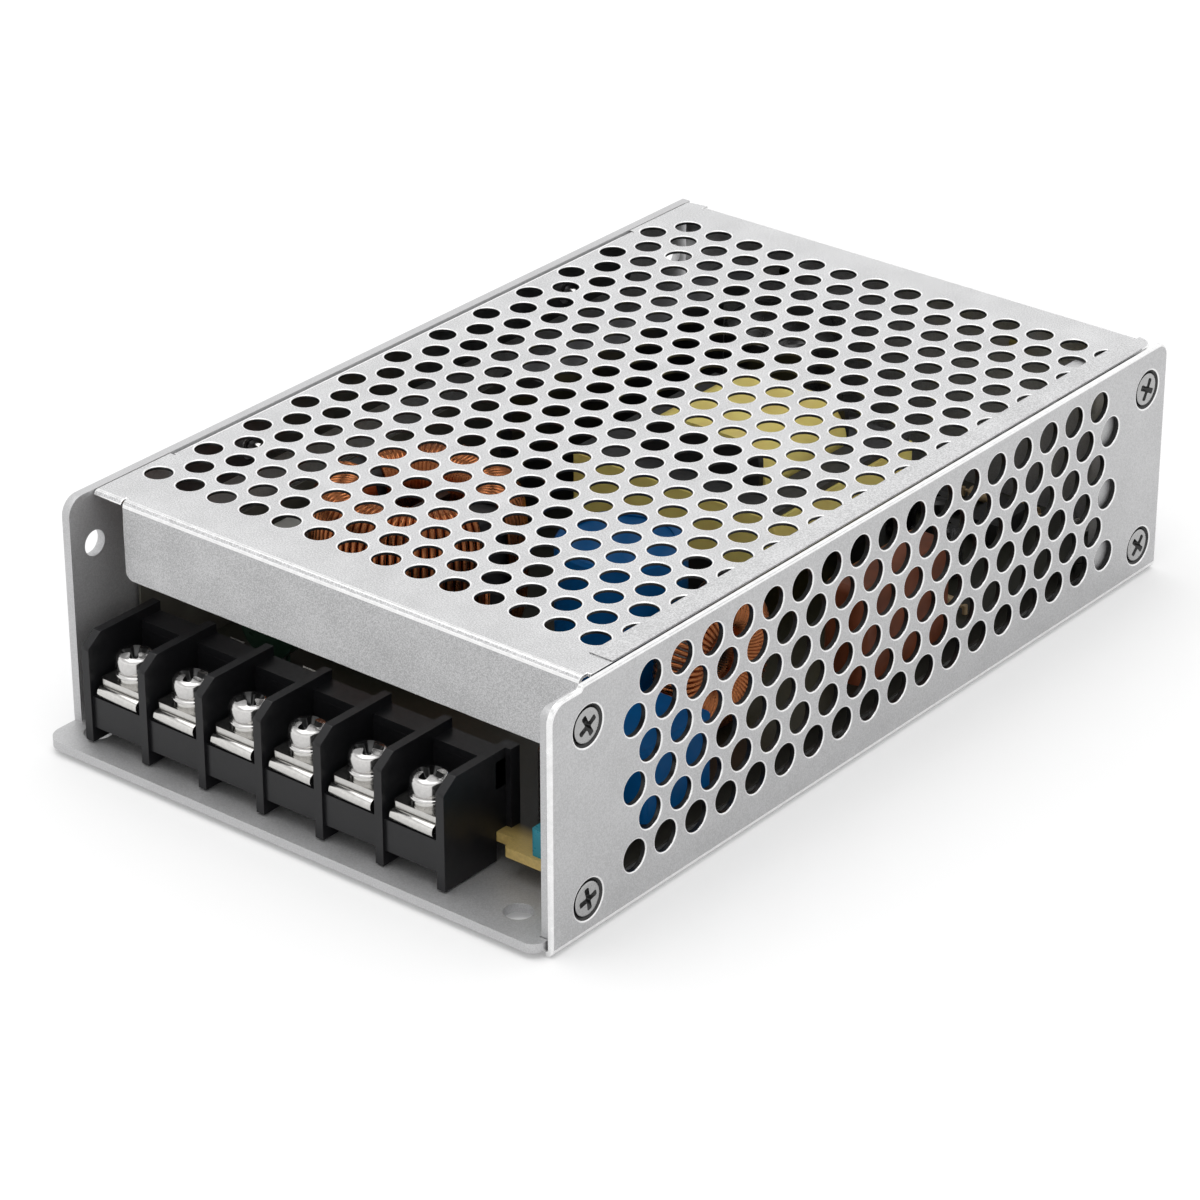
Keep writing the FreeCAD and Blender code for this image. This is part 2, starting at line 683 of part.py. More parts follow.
def pin_places():
    """Where the terminal bars' pins pass through the board."""
    y = block_back + BAR_TAIL - PIN_SIZE / 2
    return [(way_middle(way) + side * PIN_SPACING / 2, y)
            for way in range(TERMINAL_WAYS) for side in (-1, 1)]


def barrier(x, width):
    """One upright barrier with its sloped front corner and its foot over the base plate."""
    foot = base_top + TERMINAL_FOOT_GAP
    points = [(block_front, foot), (block_front, TERMINAL_HEIGHT - BARRIER_CHAMFER_DROP),
              (block_front + BARRIER_CHAMFER_DEPTH, TERMINAL_HEIGHT),
              (block_back, TERMINAL_HEIGHT), (block_back, board_top),
              (block_step, board_top), (block_step, foot)]
    return slab_x(points, [0, 0.6, 0.6, 0, 0, 0, 0], x, width)


def terminal_housing():
    wall_front_y = block_front + BLOCK_FRONT_RECESS
    wall = box(block_left, block_right, wall_front_y, wall_front_y + BLOCK_WALL,
               BLOCK_WALL_LOW, SEAT_TOP)
    seat = box(block_left, block_right, wall_front_y, block_back,
               SEAT_TOP - SEAT_THICKNESS, SEAT_TOP)
    rear = box(block_left, block_right, block_step, block_step + BLOCK_WALL,
               board_top, REAR_WALL_TOP)
    shelf = box(block_left, block_right, block_step, block_back, board_top, SHELF_TOP)
    barriers = [barrier(block_left + way * TERMINAL_PITCH, BARRIER)
                for way in range(TERMINAL_WAYS + 1)]
    ear = box(block_right, block_right + EAR_WIDTH, block_back - EAR_DEPTH, block_back,
              board_top, TERMINAL_HEIGHT)
    block = fuse(wall, seat, rear, shelf, ear, *barriers)
    cuts = []
    for way in range(TERMINAL_WAYS):
        x = way_middle(way)
        half = BAR_WIDTH / 2 + SLOT_GAP
        cuts.append(box(x - half, x + half, block_step - 1, block_back + 1,
                        SEAT_TOP, bar_top + SLOT_GAP))
        cuts.append(disc(SCREW_RADIUS + 4 * SLOT_GAP, SEAT_TOP, Vector(x, screw_y, 0), UP))
    return block.cut(cuts)


def terminal_bars():
    """Six flat bars with a round nose, turned down at the back into two pins each."""
    nose = block_front + BAR_NOSE_SETBACK
    bars = []
    for way in range(TERMINAL_WAYS):
        x = way_middle(way)
        tail = block_back + BAR_TAIL
        leg_low = board_top + SLOT_GAP
        points = [(nose, SEAT_TOP), (nose, bar_top), (tail, bar_top), (tail, leg_low),
                  (tail - PIN_SIZE, leg_low), (tail - PIN_SIZE, SEAT_TOP)]
        rounding = BAR_THICKNESS / 2 - 0.05
        bar = slab_x(points, [rounding, rounding, PIN_SIZE, 0, 0, 0], x - BAR_WIDTH / 2, BAR_WIDTH)
        pins = [box(x + side * PIN_SPACING / 2 - PIN_SIZE / 2,
                    x + side * PIN_SPACING / 2 + PIN_SIZE / 2,
                    tail - PIN_SIZE, tail, board_under - PIN_LENGTH, leg_low)
                for side in (-1, 1)]
        bar = fuse(bar, *pins)
        bars.append(bar.cut(disc(SCREW_RADIUS + THREAD_GAP, 4 * BAR_THICKNESS,
                                 Vector(x, screw_y, SEAT_TOP - 1), UP)))
    return Part.makeCompound(bars)


def terminal_clamp(way):
    """A square clamp plate with its split spring washer."""
    x = way_middle(way)
    half = CLAMP_WIDTH / 2
    front = screw_y - CLAMP_DEPTH / 2
    flat = plate([(x - half, front), (x + half, front),
                  (x + half, front + CLAMP_DEPTH), (x - half, front + CLAMP_DEPTH)],
                 [0.6] * 4, clamp_low, CLAMP_THICKNESS)
    bore = disc(SCREW_RADIUS + SLOT_GAP, HEIGHT, Vector(x, screw_y, 0), UP)
    washer = disc(WASHER_RADIUS, WASHER_THICKNESS, Vector(x, screw_y, washer_low), UP)
    split = box(x, x + WASHER_RADIUS + 1, screw_y - 0.25, screw_y + 0.25,
                washer_low - 1, head_low + 1)
    split.rotate(Vector(x, screw_y, 0), UP, 250)
    return Part.makeCompound([flat.cut(bore), washer.cut([bore, split])])


def terminal_screw(way):
    """A domed cross head screw."""
    x = way_middle(way)
    middle = Vector(x, screw_y, 0)
    rim_top = head_low + SCREW_HEAD_RIM
    head_top = head_low + SCREW_HEAD_HEIGHT
    end = head_low - SCREW_LENGTH
    rise = head_top - rim_top
    bulge = Vector(x + SCREW_HEAD_RADIUS * 0.76, screw_y, rim_top + rise * 0.62)
    foot = Vector(x, screw_y, end)
    corner = Vector(x + SCREW_HEAD_RADIUS, screw_y, rim_top)
    edges = [Part.LineSegment(foot, Vector(x + SCREW_RADIUS, screw_y, end)).toShape(),
             Part.LineSegment(Vector(x + SCREW_RADIUS, screw_y, end),
                              Vector(x + SCREW_RADIUS, screw_y, head_low)).toShape(),
             Part.LineSegment(Vector(x + SCREW_RADIUS, screw_y, head_low),
                              Vector(x + SCREW_HEAD_RADIUS, screw_y, head_low)).toShape(),
             Part.LineSegment(Vector(x + SCREW_HEAD_RADIUS, screw_y, head_low), corner).toShape(),
             Part.Arc(corner, bulge, Vector(x, screw_y, head_top)).toShape(),
             Part.LineSegment(Vector(x, screw_y, head_top), foot).toShape()]
    screw = Part.Face(Part.Wire(edges)).revolve(middle, UP, 360)
    recess = cross_recess(SCREW_HEAD_RADIUS * 0.72, 1.8 * RECESS_DEPTH, 1.4 * RECESS_WIDTH)
    recess.rotate(Vector(0, 0, 0), UP, FIRST_RECESS_TURN + RECESS_TURN * way)
    recess.translate(Vector(x, screw_y, head_top + RECESS_DEPTH / 5))
    return screw.cut(recess)


# Voltage trimmer

trimmer_place = Vector(board_right - TRIMMER_SIZE / 2 - 1, board_front - TONGUE_REACH
                       + TRIMMER_SIZE / 2 + 0.6, board_top)


def trimmer_body():
    half = TRIMMER_SIZE / 2
    body = plate([(trimmer_place.x - half, trimmer_place.y - half),
                  (trimmer_place.x + half, trimmer_place.y - half),
                  (trimmer_place.x + half, trimmer_place.y + half),
                  (trimmer_place.x - half, trimmer_place.y + half)],
                 [0.4] * 4, board_top, TRIMMER_HEIGHT)
    well = disc(ROTOR_RADIUS + ROTOR_GAP, ROTOR_HEIGHT + ROTOR_GAP,
                trimmer_place + UP * (TRIMMER_HEIGHT - ROTOR_HEIGHT), UP)
    return body.cut(well)


def trimmer_rotor():
    foot = trimmer_place + UP * (TRIMMER_HEIGHT - ROTOR_HEIGHT + ROTOR_GAP)
    rotor = disc(ROTOR_RADIUS, ROTOR_HEIGHT, foot, UP)
    slot = box(foot.x - ROTOR_RADIUS, foot.x + ROTOR_RADIUS, foot.y - 0.3, foot.y + 0.3,
               foot.z + ROTOR_HEIGHT * 0.45, foot.z + 2 * ROTOR_HEIGHT)
    return rotor.cut(slot)


# Transformer: its winding's axis lies along Y

heatsink_x = board_left + HEATSINK_INSET
heatsink_right = heatsink_x + HEATSINK_TOP
heatsink_front = board_back - HEATSINK_BACK_GAP - HEATSINK_LENGTH
bulk_middle = Vector(heatsink_right + PART_GAP + BULK_RADIUS,
                     board_back - BULK_BACK_GAP - BULK_RADIUS, board_top)
transformer_middle = Vector(heatsink_right + TRANSFORMER_INSET + TAPE + CORE_WIDTH / 2,
                            bulk_middle.y - BULK_RADIUS - TRANSFORMER_GAP - CORE_LENGTH / 2,
                            board_top + BOBBIN_FOOT + WINDING_HEIGHT / 2)


def transformer_core():
    """Two E halves around the bobbin, with their middle leg through it."""
    m = transformer_middle
    outer = box(m.x - CORE_WIDTH / 2, m.x + CORE_WIDTH / 2, m.y - CORE_LENGTH / 2,
                m.y + CORE_LENGTH / 2, m.z - CORE_HEIGHT / 2, m.z + CORE_HEIGHT / 2)
    inner_x = CORE_WIDTH / 2 - CORE_LEG
    inner_y = CORE_LENGTH / 2 - CORE_LEG
    windows = box(m.x - inner_x, m.x + inner_x, m.y - inner_y, m.y + inner_y,
                  m.z - CORE_HEIGHT, m.z + CORE_HEIGHT)
    leg = disc(CORE_LEG * 0.9, 2 * inner_y, Vector(m.x, m.y - inner_y, m.z), BACK)
    return fuse(outer.cut(windows), leg)


def winding_section(y0, y1, width, height, radius):
    m = transformer_middle
    return slab_y([(m.x - width / 2, m.z - height / 2), (m.x + width / 2, m.z - height / 2),
                   (m.x + width / 2, m.z + height / 2), (m.x - width / 2, m.z + height / 2)],
                  [radius] * 4, y0, y1 - y0)


def transformer_bobbin():
    m = transformer_middle
    reach = CORE_LENGTH / 2 - CORE_LEG - SLOT_GAP
    front = winding_section(m.y - reach, m.y - reach + BOBBIN_WALL,
                            WINDING_WIDTH - 2 * TAPE, WINDING_HEIGHT, 2.0)
    back = winding_section(m.y + reach - BOBBIN_WALL, m.y + reach,
                           WINDING_WIDTH - 2 * TAPE, WINDING_HEIGHT, 2.0)
    tube = disc(CORE_LEG * 0.9 + BOBBIN_WALL, 2 * reach, Vector(m.x, m.y - reach, m.z), BACK)
    foot_top = m.z - CORE_HEIGHT / 2 - SLOT_GAP
    feet = [box(m.x - WINDING_WIDTH / 2, m.x + WINDING_WIDTH / 2, y0, y1, board_top, foot_top)
            for y0, y1 in ((m.y - CORE_LENGTH / 2, m.y - reach + BOBBIN_WALL),
                           (m.y + reach - BOBBIN_WALL, m.y + CORE_LENGTH / 2))]
    bobbin = fuse(front, back, tube, *feet)
    return bobbin.cut(disc(CORE_LEG * 0.9, 2 * CORE_LENGTH,
                           Vector(m.x, m.y - CORE_LENGTH, m.z), BACK))


def transformer_winding():
    m = transformer_middle
    inner_y = CORE_LENGTH / 2 - CORE_LEG - SLOT_GAP - BOBBIN_WALL
    body = winding_section(m.y - inner_y, m.y + inner_y, WINDING_WIDTH, WINDING_HEIGHT + 1, 7.0)
    return body.cut(disc(CORE_LEG * 0.9 + BOBBIN_WALL, 2 * CORE_LENGTH,
                         Vector(m.x, m.y - CORE_LENGTH, m.z), BACK))


def transformer_tape():
    """The band of tape round the outside of the core."""
    m = transformer_middle
    corners = [(m.x - CORE_WIDTH / 2, m.y - CORE_LENGTH / 2),
               (m.x + CORE_WIDTH / 2, m.y - CORE_LENGTH / 2),
               (m.x + CORE_WIDTH / 2, m.y + CORE_LENGTH / 2),
               (m.x - CORE_WIDTH / 2, m.y + CORE_LENGTH / 2)]
    grown = [(x + math.copysign(TAPE, x - m.x), y + math.copysign(TAPE, y - m.y))
             for x, y in corners]
    low = m.z - CORE_HEIGHT / 2 + 1
    high = CORE_HEIGHT - 2
    band = plate(grown, [TAPE] * 4, low, high)
    return band.cut(plate(corners, [0] * 4, low - 1, high + 2))


# Toroid chokes

def ring(middle, radius, tube, axis):
    return Part.makeTorus(radius, tube, middle, axis)


output_choke_reach = OUTPUT_CHOKE_RADIUS + OUTPUT_CHOKE_TUBE
line_choke_middle = Vector(board_left + LINE_CHOKE_INSET + LINE_CHOKE_RADIUS,
                           board_front + LINE_CHOKE_SETBACK + LINE_CHOKE_RADIUS,
                           board_top + CHOKE_BASE)
output_choke_middle = Vector(board_right - OUTPUT_CHOKE_INSET,
                             board_front + OUTPUT_CHOKE_SETBACK + output_choke_reach,
                             board_top + output_choke_reach)


def choke_section(inset, rounding, sweep, start):
    """Part of a tall ring standing at the line choke's place, inset all over."""
    m = line_choke_middle
    points = [Vector(m.x + r, m.y, m.z + z)
              for r, z in ((LINE_CHOKE_BORE + inset, inset), (LINE_CHOKE_RADIUS - inset, inset),
                           (LINE_CHOKE_RADIUS - inset, LINE_CHOKE_HEIGHT - inset),
                           (LINE_CHOKE_BORE + inset, LINE_CHOKE_HEIGHT - inset))]
    section = Part.Face(round_wire(points, [rounding] * 4))
    solid = section.revolve(m, UP, sweep)
    solid.rotate(m, UP, start)
    return solid


def line_choke_core():
    return choke_section(LINE_CHOKE_WIRE, LINE_CHOKE_WIRE / 2, 360, 0)


def line_choke_coils():
    rest = (360 - 2 * LINE_CHOKE_SWEEP) / 4
    coils = [choke_section(0, 2 * LINE_CHOKE_WIRE, LINE_CHOKE_SWEEP, start + rest)
             .cut(line_choke_core()) for start in (90, 270)]
    return Part.makeCompound(coils)


def line_choke_base():
    """The plastic foot under the ring, with the wall that keeps the two coils apart."""
    m = line_choke_middle
    foot = disc(LINE_CHOKE_RADIUS * 0.9, CHOKE_BASE, Vector(m.x, m.y, board_top), UP)
    reach = LINE_CHOKE_BORE + LINE_CHOKE_WIRE / 2
    divider = box(m.x - CHOKE_BASE / 2, m.x + CHOKE_BASE / 2, m.y - reach, m.y + reach,
                  board_top, m.z + LINE_CHOKE_HEIGHT * 0.8)
    return fuse(foot, divider).cut(line_choke_core())


def output_choke_core():
    return ring(output_choke_middle, OUTPUT_CHOKE_RADIUS, OUTPUT_CHOKE_CORE, RIGHT)


def output_choke_coil():
    """A coil round most of the ring core."""
    m = output_choke_middle
    sleeve = Part.makeTorus(OUTPUT_CHOKE_RADIUS, OUTPUT_CHOKE_TUBE, Vector(0, 0, 0), UP,
                            -180, 180, OUTPUT_CHOKE_SWEEP)
    return aim(sleeve, m, RIGHT).cut(output_choke_core())


# Capacitors

def can(x, y, radius, height):
    """A sleeved electrolytic capacitor standing on the board."""
    top = board_top + height
    groove = board_top + height * 0.14
    rim = radius - 4 * SLEEVE_LIP
    return turned([(0, board_top), (radius - SLEEVE_LIP, board_top),
                   (radius, board_top + SLEEVE_LIP), (radius, groove),
                   (radius - SLEEVE_LIP, groove + SLEEVE_LIP),
                   (radius, groove + 2 * SLEEVE_LIP), (radius, top - SLEEVE_LIP),
                   (radius - SLEEVE_LIP, top), (rim, top), (rim, top - SLEEVE_LIP / 2),
                   (0, top - SLEEVE_LIP / 2)], Vector(x, y, 0))


def blue_capacitor():
    x = output_choke_middle.x - OUTPUT_CHOKE_TUBE - PART_GAP - BLUE_RADIUS
    return can(x, board_front + BLUE_SETBACK + BLUE_RADIUS, BLUE_RADIUS, BLUE_HEIGHT)


def bulk_capacitor():
    return can(bulk_middle.x, bulk_middle.y, BULK_RADIUS, BULK_HEIGHT)


def front_capacitor():
    return can(board_right - FRONT_CAN_INSET, board_front + FRONT_CAN_SETBACK,
               FRONT_RADIUS, FRONT_HEIGHT)


def small_capacitors():
    y = board_back - SMALL_BACK_GAP
    x = board_right - SMALL_INSET
    cans = [can(x - SMALL_PITCH, y, SMALL_RADIUS, SMALL_HEIGHT),
            can(x, y, SMALL_RADIUS, SMALL_HEIGHT),
            can(x + SMALL_PITCH, y - SMALL_PITCH, SMALL_RADIUS, SMALL_HEIGHT)]
    return Part.makeCompound(cans)


def moulded_box(x, y, size, radius):
    """A moulded or dipped body on the board, rounded at its upright edges and its top."""
    body = plate([(x, y), (x + size.x, y), (x + size.x, y + size.y), (x, y + size.y)],
                 [radius] * 4, board_top, size.z)
    top = [edge for edge in body.Edges if abs(edge.BoundBox.ZMin - board_top - size.z) < 1e-6]
    return body.makeFillet(radius * 0.6, top)


brown_box_front = output_choke_middle.y + output_choke_reach + BROWN_BOX_GAP
line_box_front = board_front + LINE_BOX_SETBACK


def blue_film_capacitor():
    return moulded_box(board_right - BLUE_BOX.x, board_front + BLUE_BOX_SETBACK, BLUE_BOX, 1.0)


def film_capacitor():
    return moulded_box(board_right - BROWN_BOX.x, brown_box_front, BROWN_BOX, 2.0)


def line_capacitor():
    return moulded_box(board_left + LINE_BOX_INSET, line_box_front, LINE_BOX, 0.8)


def bridge_rectifier():
    return moulded_box(board_left + BRIDGE_INSET, line_box_front + LINE_BOX.y + BRIDGE_GAP,
                       BRIDGE_BOX, 0.6)


def thermistor():
    """A dipped disc on edge, with its two leads."""
    x = board_left + THERMISTOR_INSET
    y = board_front + THERMISTOR_SETBACK
    body = disc(THERMISTOR_RADIUS, THERMISTOR_THICKNESS,
                Vector(x, y - THERMISTOR_THICKNESS / 2, board_top + 2 * CHIP_LIFT
                       + THERMISTOR_RADIUS), BACK)
    leads = [disc(LEAD / 2, THERMISTOR_RADIUS, Vector(x + side * LEAD_PITCH, y, board_top), UP)
             for side in (-1, 1)]
    return fuse(body, *leads)


# Fuse in its clips

fuse_middle = Vector(board_left + FUSE_INSET, board_front + FUSE_SETBACK,
                     board_top + FUSE_LIFT + FUSE_RADIUS)


def fuse_tube():
    length = FUSE_LENGTH - 2 * FUSE_CAP_WALL
    return disc(FUSE_RADIUS - FUSE_CAP_WALL, length, fuse_middle - RIGHT * (length / 2), RIGHT)


def fuse_caps():
    caps = []
    for side in (-1, 1):
        outer = fuse_middle + RIGHT * (side * FUSE_LENGTH / 2)
        inward = RIGHT * -side
        cap = disc(FUSE_RADIUS, FUSE_CAP, outer, inward)
        bore = disc(FUSE_RADIUS - FUSE_CAP_WALL, FUSE_CAP, outer + inward * FUSE_CAP_WALL, inward)
        caps.append(cap.cut(bore))
    return Part.makeCompound(caps)


def fuse_clips():
    clips = []
    for side in (-1, 1):
        x = fuse_middle.x + side * (FUSE_LENGTH - FUSE_CAP) / 2
        start = Vector(x - CLIP_WIDTH / 2, fuse_middle.y, fuse_middle.z)
        outer = disc(FUSE_RADIUS + CLIP_WALL, CLIP_WIDTH, start, RIGHT)
        foot = box(x - CLIP_WIDTH / 2, x + CLIP_WIDTH / 2, start.y - CLIP_WIDTH / 2,
                   start.y + CLIP_WIDTH / 2, board_top, fuse_middle.z)
        bore = disc(FUSE_RADIUS, 3 * CLIP_WIDTH, start - RIGHT * CLIP_WIDTH, RIGHT)
        mouth = box(x - CLIP_WIDTH, x + CLIP_WIDTH, start.y - FUSE_RADIUS * 0.7,
                    start.y + FUSE_RADIUS * 0.7, fuse_middle.z, fuse_middle.z + 3 * FUSE_RADIUS)
        clips.append(fuse(outer, foot).cut([bore, mouth]))
    return Part.makeCompound(clips)


# Heatsink with its power devices

device_low = board_top + DEVICE_LIFT
device_screw_z = device_low + DEVICE_HEIGHT - DEVICE_TAB_HEIGHT / 2
device_places = [heatsink_front + DEVICE_SETBACK,
                 heatsink_front + DEVICE_SETBACK + DEVICE_SPACING]


def heatsink():
    """An upright plate turned over at the top."""
    points, radii = fold_outline((heatsink_x, cover_under - HEATSINK_TOP_GAP), heatsink_right,
                                 board_top, HEATSINK_THICKNESS)
    body = slab_y(points, radii, heatsink_front, HEATSINK_LENGTH)
    holes = [disc(DEVICE_SCREW_RADIUS, 3 * HEATSINK_THICKNESS,
                  Vector(heatsink_x - HEATSINK_THICKNESS, y, device_screw_z), RIGHT)
             for y in device_places]
    return body.cut(holes)


def power_device(number):
    """A moulded transistor with a thin screw tab and three leads, flat on the heatsink."""
    y = device_places[number]
    front = heatsink_x - DEVICE_THICKNESS
    top = device_low + DEVICE_HEIGHT
    body = box(front, heatsink_x, y - DEVICE_WIDTH / 2, y + DEVICE_WIDTH / 2, device_low, top)
    above = box(front - 1, heatsink_x - DEVICE_TAB, y - DEVICE_WIDTH, y + DEVICE_WIDTH,
                top - DEVICE_TAB_HEIGHT, top + 1)
    lead_x = heatsink_x - DEVICE_TAB
    leads = [box(lead_x - LEAD, lead_x, y + step * LEAD_PITCH - LEAD / 2,
                 y + step * LEAD_PITCH + LEAD / 2, board_top, device_low) for step in (-1, 0, 1)]
    hole = disc(DEVICE_SCREW_RADIUS + THREAD_GAP, 3 * DEVICE_THICKNESS,
                Vector(front - DEVICE_THICKNESS, y, device_screw_z), RIGHT)
    return fuse(body.cut(above), *leads).cut(hole)


def device_screws():
    screws = []
    for y in device_places:
        face = Vector(heatsink_x - DEVICE_TAB, y, device_screw_z)
        head = disc(DEVICE_SCREW_HEAD, DEVICE_SCREW_RADIUS * 1.5, face, RIGHT * -1)
        shank = disc(DEVICE_SCREW_RADIUS - THREAD_GAP, DEVICE_TAB + HEATSINK_THICKNESS, face, RIGHT)
        screws.append(fuse(head, shank))
    return Part.makeCompound(screws)


# Control parts on the board

def chip(x, length):
    """A moulded circuit with two legs to a side."""
    y = board_back - CHIP_BACK_GAP
    half = CHIP_WIDTH / 2
    low = board_top + CHIP_LIFT
    body = box(x - half, x + half, y - length / 2, y + length / 2, low, low + CHIP_HEIGHT)
    legs = [box(x + side * half - LEAD / 2, x + side * half + LEAD / 2,
                y + step * length / 3 - LEAD / 2, y + step * length / 3 + LEAD / 2,
                board_top, low + CHIP_HEIGHT / 2) for side in (-1, 1) for step in (-1, 1)]
    return fuse(body, *legs)


def control_chip():
    return chip(board_right - CHIP_INSET, CHIP_LENGTH)


def optocoupler():
    return chip(board_right - CHIP_INSET - CHIP_PITCH, COUPLER_LENGTH)


def resistor(x, y):
    """A small resistor lying on its two bent leads."""
    z = board_top + RESISTOR_RADIUS
    body = disc(RESISTOR_RADIUS, RESISTOR_LENGTH, Vector(x - RESISTOR_LENGTH / 2, y, z), RIGHT)
    lead = disc(LEAD * 0.4, RESISTOR_SPAN, Vector(x - RESISTOR_SPAN / 2, y, z), RIGHT)
    feet = [disc(LEAD * 0.6, RESISTOR_RADIUS + LEAD * 0.6,
                 Vector(x + side * RESISTOR_SPAN / 2, y, board_top), UP) for side in (-1, 1)]
    return fuse(body, lead, *feet)


def board_resistors():
    x = board_right - CHIP_INSET
    back = board_back - RESISTOR_BACK_GAP
    behind_box = brown_box_front + BROWN_BOX.y + BRIDGE_GAP
    return Part.makeCompound([resistor(x, back), resistor(x - CHIP_PITCH / 1.5, back),
                              resistor(board_right - RESISTOR_SPAN * 0.7, behind_box)])


parts = {
    "chassis": chassis(),
    "side_panel": side_panel(),
    "top_cover": top_cover(),
    "panel_screws": panel_screws(),
    "cover_screws": cover_screws(),
    "insulation_sheet": insulation_sheet(),
    "circuit_board": circuit_board(),
    "board_standoffs": board_standoffs(),
    "board_screws": board_screws(),
    "terminal_housing": terminal_housing(),
    "terminal_bars": terminal_bars(),
    "trimmer_body": trimmer_body(),
    "trimmer_rotor": trimmer_rotor(),
    "transformer_core": transformer_core(),
    "transformer_bobbin": transformer_bobbin(),
    "transformer_winding": transformer_winding(),
    "transformer_tape": transformer_tape(),
    "line_choke_core": line_choke_core(),
    "line_choke_coils": line_choke_coils(),
    "line_choke_base": line_choke_base(),
    "output_choke_core": output_choke_core(),
    "output_choke_coil": output_choke_coil(),
    "blue_capacitor": blue_capacitor(),
    "blue_film_capacitor": blue_film_capacitor(),
    "bulk_capacitor": bulk_capacitor(),
    "front_capacitor": front_capacitor(),
    "small_capacitors": small_capacitors(),
    "film_capacitor": film_capacitor(),
    "line_capacitor": line_capacitor(),
    "bridge_rectifier": bridge_rectifier(),
    "thermistor": thermistor(),
    "fuse_tube": fuse_tube(),
    "fuse_caps": fuse_caps(),
    "fuse_clips": fuse_clips(),
    "heatsink": heatsink(),
    "power_device_1": power_device(0),
    "power_device_2": power_device(1),
    "device_screws": device_screws(),
    "control_chip": control_chip(),
    "optocoupler": optocoupler(),
    "board_resistors": board_resistors(),
}
for way in range(TERMINAL_WAYS):
    parts["terminal_clamp_%d" % (way + 1)] = terminal_clamp(way)
    parts["terminal_screw_%d" % (way + 1)] = terminal_screw(way)

os.makedirs("parts", exist_ok=True)
for name, shape in parts.items():
    shape.exportStep("parts/%s.step" % name)
    state = "ok" if shape.isValid() else "INVALID"
    print("%-22s %2d solids %10.1f mm3 %s" % (name, len(shape.Solids), shape.Volume, state))
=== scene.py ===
import json
import math
import bmesh
import bpy
from mathutils import Vector, Matrix, geometry

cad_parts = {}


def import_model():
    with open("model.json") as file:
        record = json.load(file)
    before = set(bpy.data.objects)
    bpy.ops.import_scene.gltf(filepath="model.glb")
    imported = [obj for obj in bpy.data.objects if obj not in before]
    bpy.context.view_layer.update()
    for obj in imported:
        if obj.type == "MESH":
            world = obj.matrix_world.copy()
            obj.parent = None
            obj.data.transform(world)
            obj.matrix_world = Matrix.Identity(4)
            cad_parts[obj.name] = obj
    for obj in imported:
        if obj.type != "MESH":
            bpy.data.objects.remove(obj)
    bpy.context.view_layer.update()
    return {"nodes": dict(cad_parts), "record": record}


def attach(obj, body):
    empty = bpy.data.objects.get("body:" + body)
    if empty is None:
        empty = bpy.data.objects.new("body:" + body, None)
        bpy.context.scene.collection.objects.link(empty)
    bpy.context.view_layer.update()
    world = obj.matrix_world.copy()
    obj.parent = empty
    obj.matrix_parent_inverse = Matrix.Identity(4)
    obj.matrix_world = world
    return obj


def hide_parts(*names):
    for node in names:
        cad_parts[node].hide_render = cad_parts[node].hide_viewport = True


# An enclosed switching power supply. Lengths are in metres, in the frame of the CAD model:
# the terminals face -Y, the perforated side faces +X, and the feet of the case are at Z 0.

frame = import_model()
nodes = frame["nodes"]
MM = 0.001


# Materials

def new_material(name):
    """An empty material, its node tree and its Principled shader."""
    material = bpy.data.materials.new(name)
    material.use_nodes = True
    return material, material.node_tree, material.node_tree.nodes["Principled BSDF"]


def add(tree, kind, values=None, **settings):
    """Adds a node with its settings and its input values."""
    node = tree.nodes.new(kind)
    for key, value in settings.items():
        setattr(node, key, value)
    for key, value in (values or {}).items():
        node.inputs[key].default_value = value
    return node


def new_object(name, data):
    """An object with this mesh, lamp or camera, in the scene."""
    obj = bpy.data.objects.new(name, data)
    bpy.context.scene.collection.objects.link(obj)
    return obj


def noise(tree, scale, detail=3.0, stretch=None, roughness=0.5):
    """Object-space noise, in features per metre, stretched along an axis if asked."""
    place = add(tree, "ShaderNodeTexCoord")
    source = place.outputs["Object"]
    if stretch:
        mapping = add(tree, "ShaderNodeMapping", {"Scale": stretch})
        tree.links.new(source, mapping.inputs["Vector"])
        source = mapping.outputs["Vector"]
    node = add(tree, "ShaderNodeTexNoise",
               {"Scale": scale, "Detail": detail, "Roughness": roughness})
    tree.links.new(source, node.inputs["Vector"])
    return node.outputs["Fac"]


def ramp(tree, source, stops):
    """A colour ramp from (place, colour or grey) stops."""
    node = add(tree, "ShaderNodeValToRGB")
    elements = node.color_ramp.elements
    while len(elements) < len(stops):
        elements.new(0.5)
    for element, (place, colour) in zip(elements, stops):
        element.position = place
        rgb = (colour,) * 3 if isinstance(colour, float) else colour
        element.color = (*rgb, 1.0)
    tree.links.new(source, node.inputs["Fac"])
    return node.outputs["Color"]


def bump(tree, shader, source, height):
    """Bump of this height in metres."""
    node = add(tree, "ShaderNodeBump", {"Strength": 1.0, "Distance": height})
    tree.links.new(source, node.inputs["Height"])
    tree.links.new(node.outputs["Normal"], shader.inputs["Normal"])


def shades(colour, below, above=0.0):
    """A colour made darker by one share and lighter by another, as the ends of a ramp."""
    return (tuple(c * (1 - below) for c in colour),
            tuple(min(1.0, c * (1 + above)) for c in colour))


# Zinc coating: the sizes of its grain and clouds per metre, the clouds' share of its tone,
# and how far its roughness swings
COAT_GRAIN = 4600.0
COAT_CLOUDS = 130.0
CLOUD_SHARE = 0.2
ROUGHNESS_SWING = 0.06


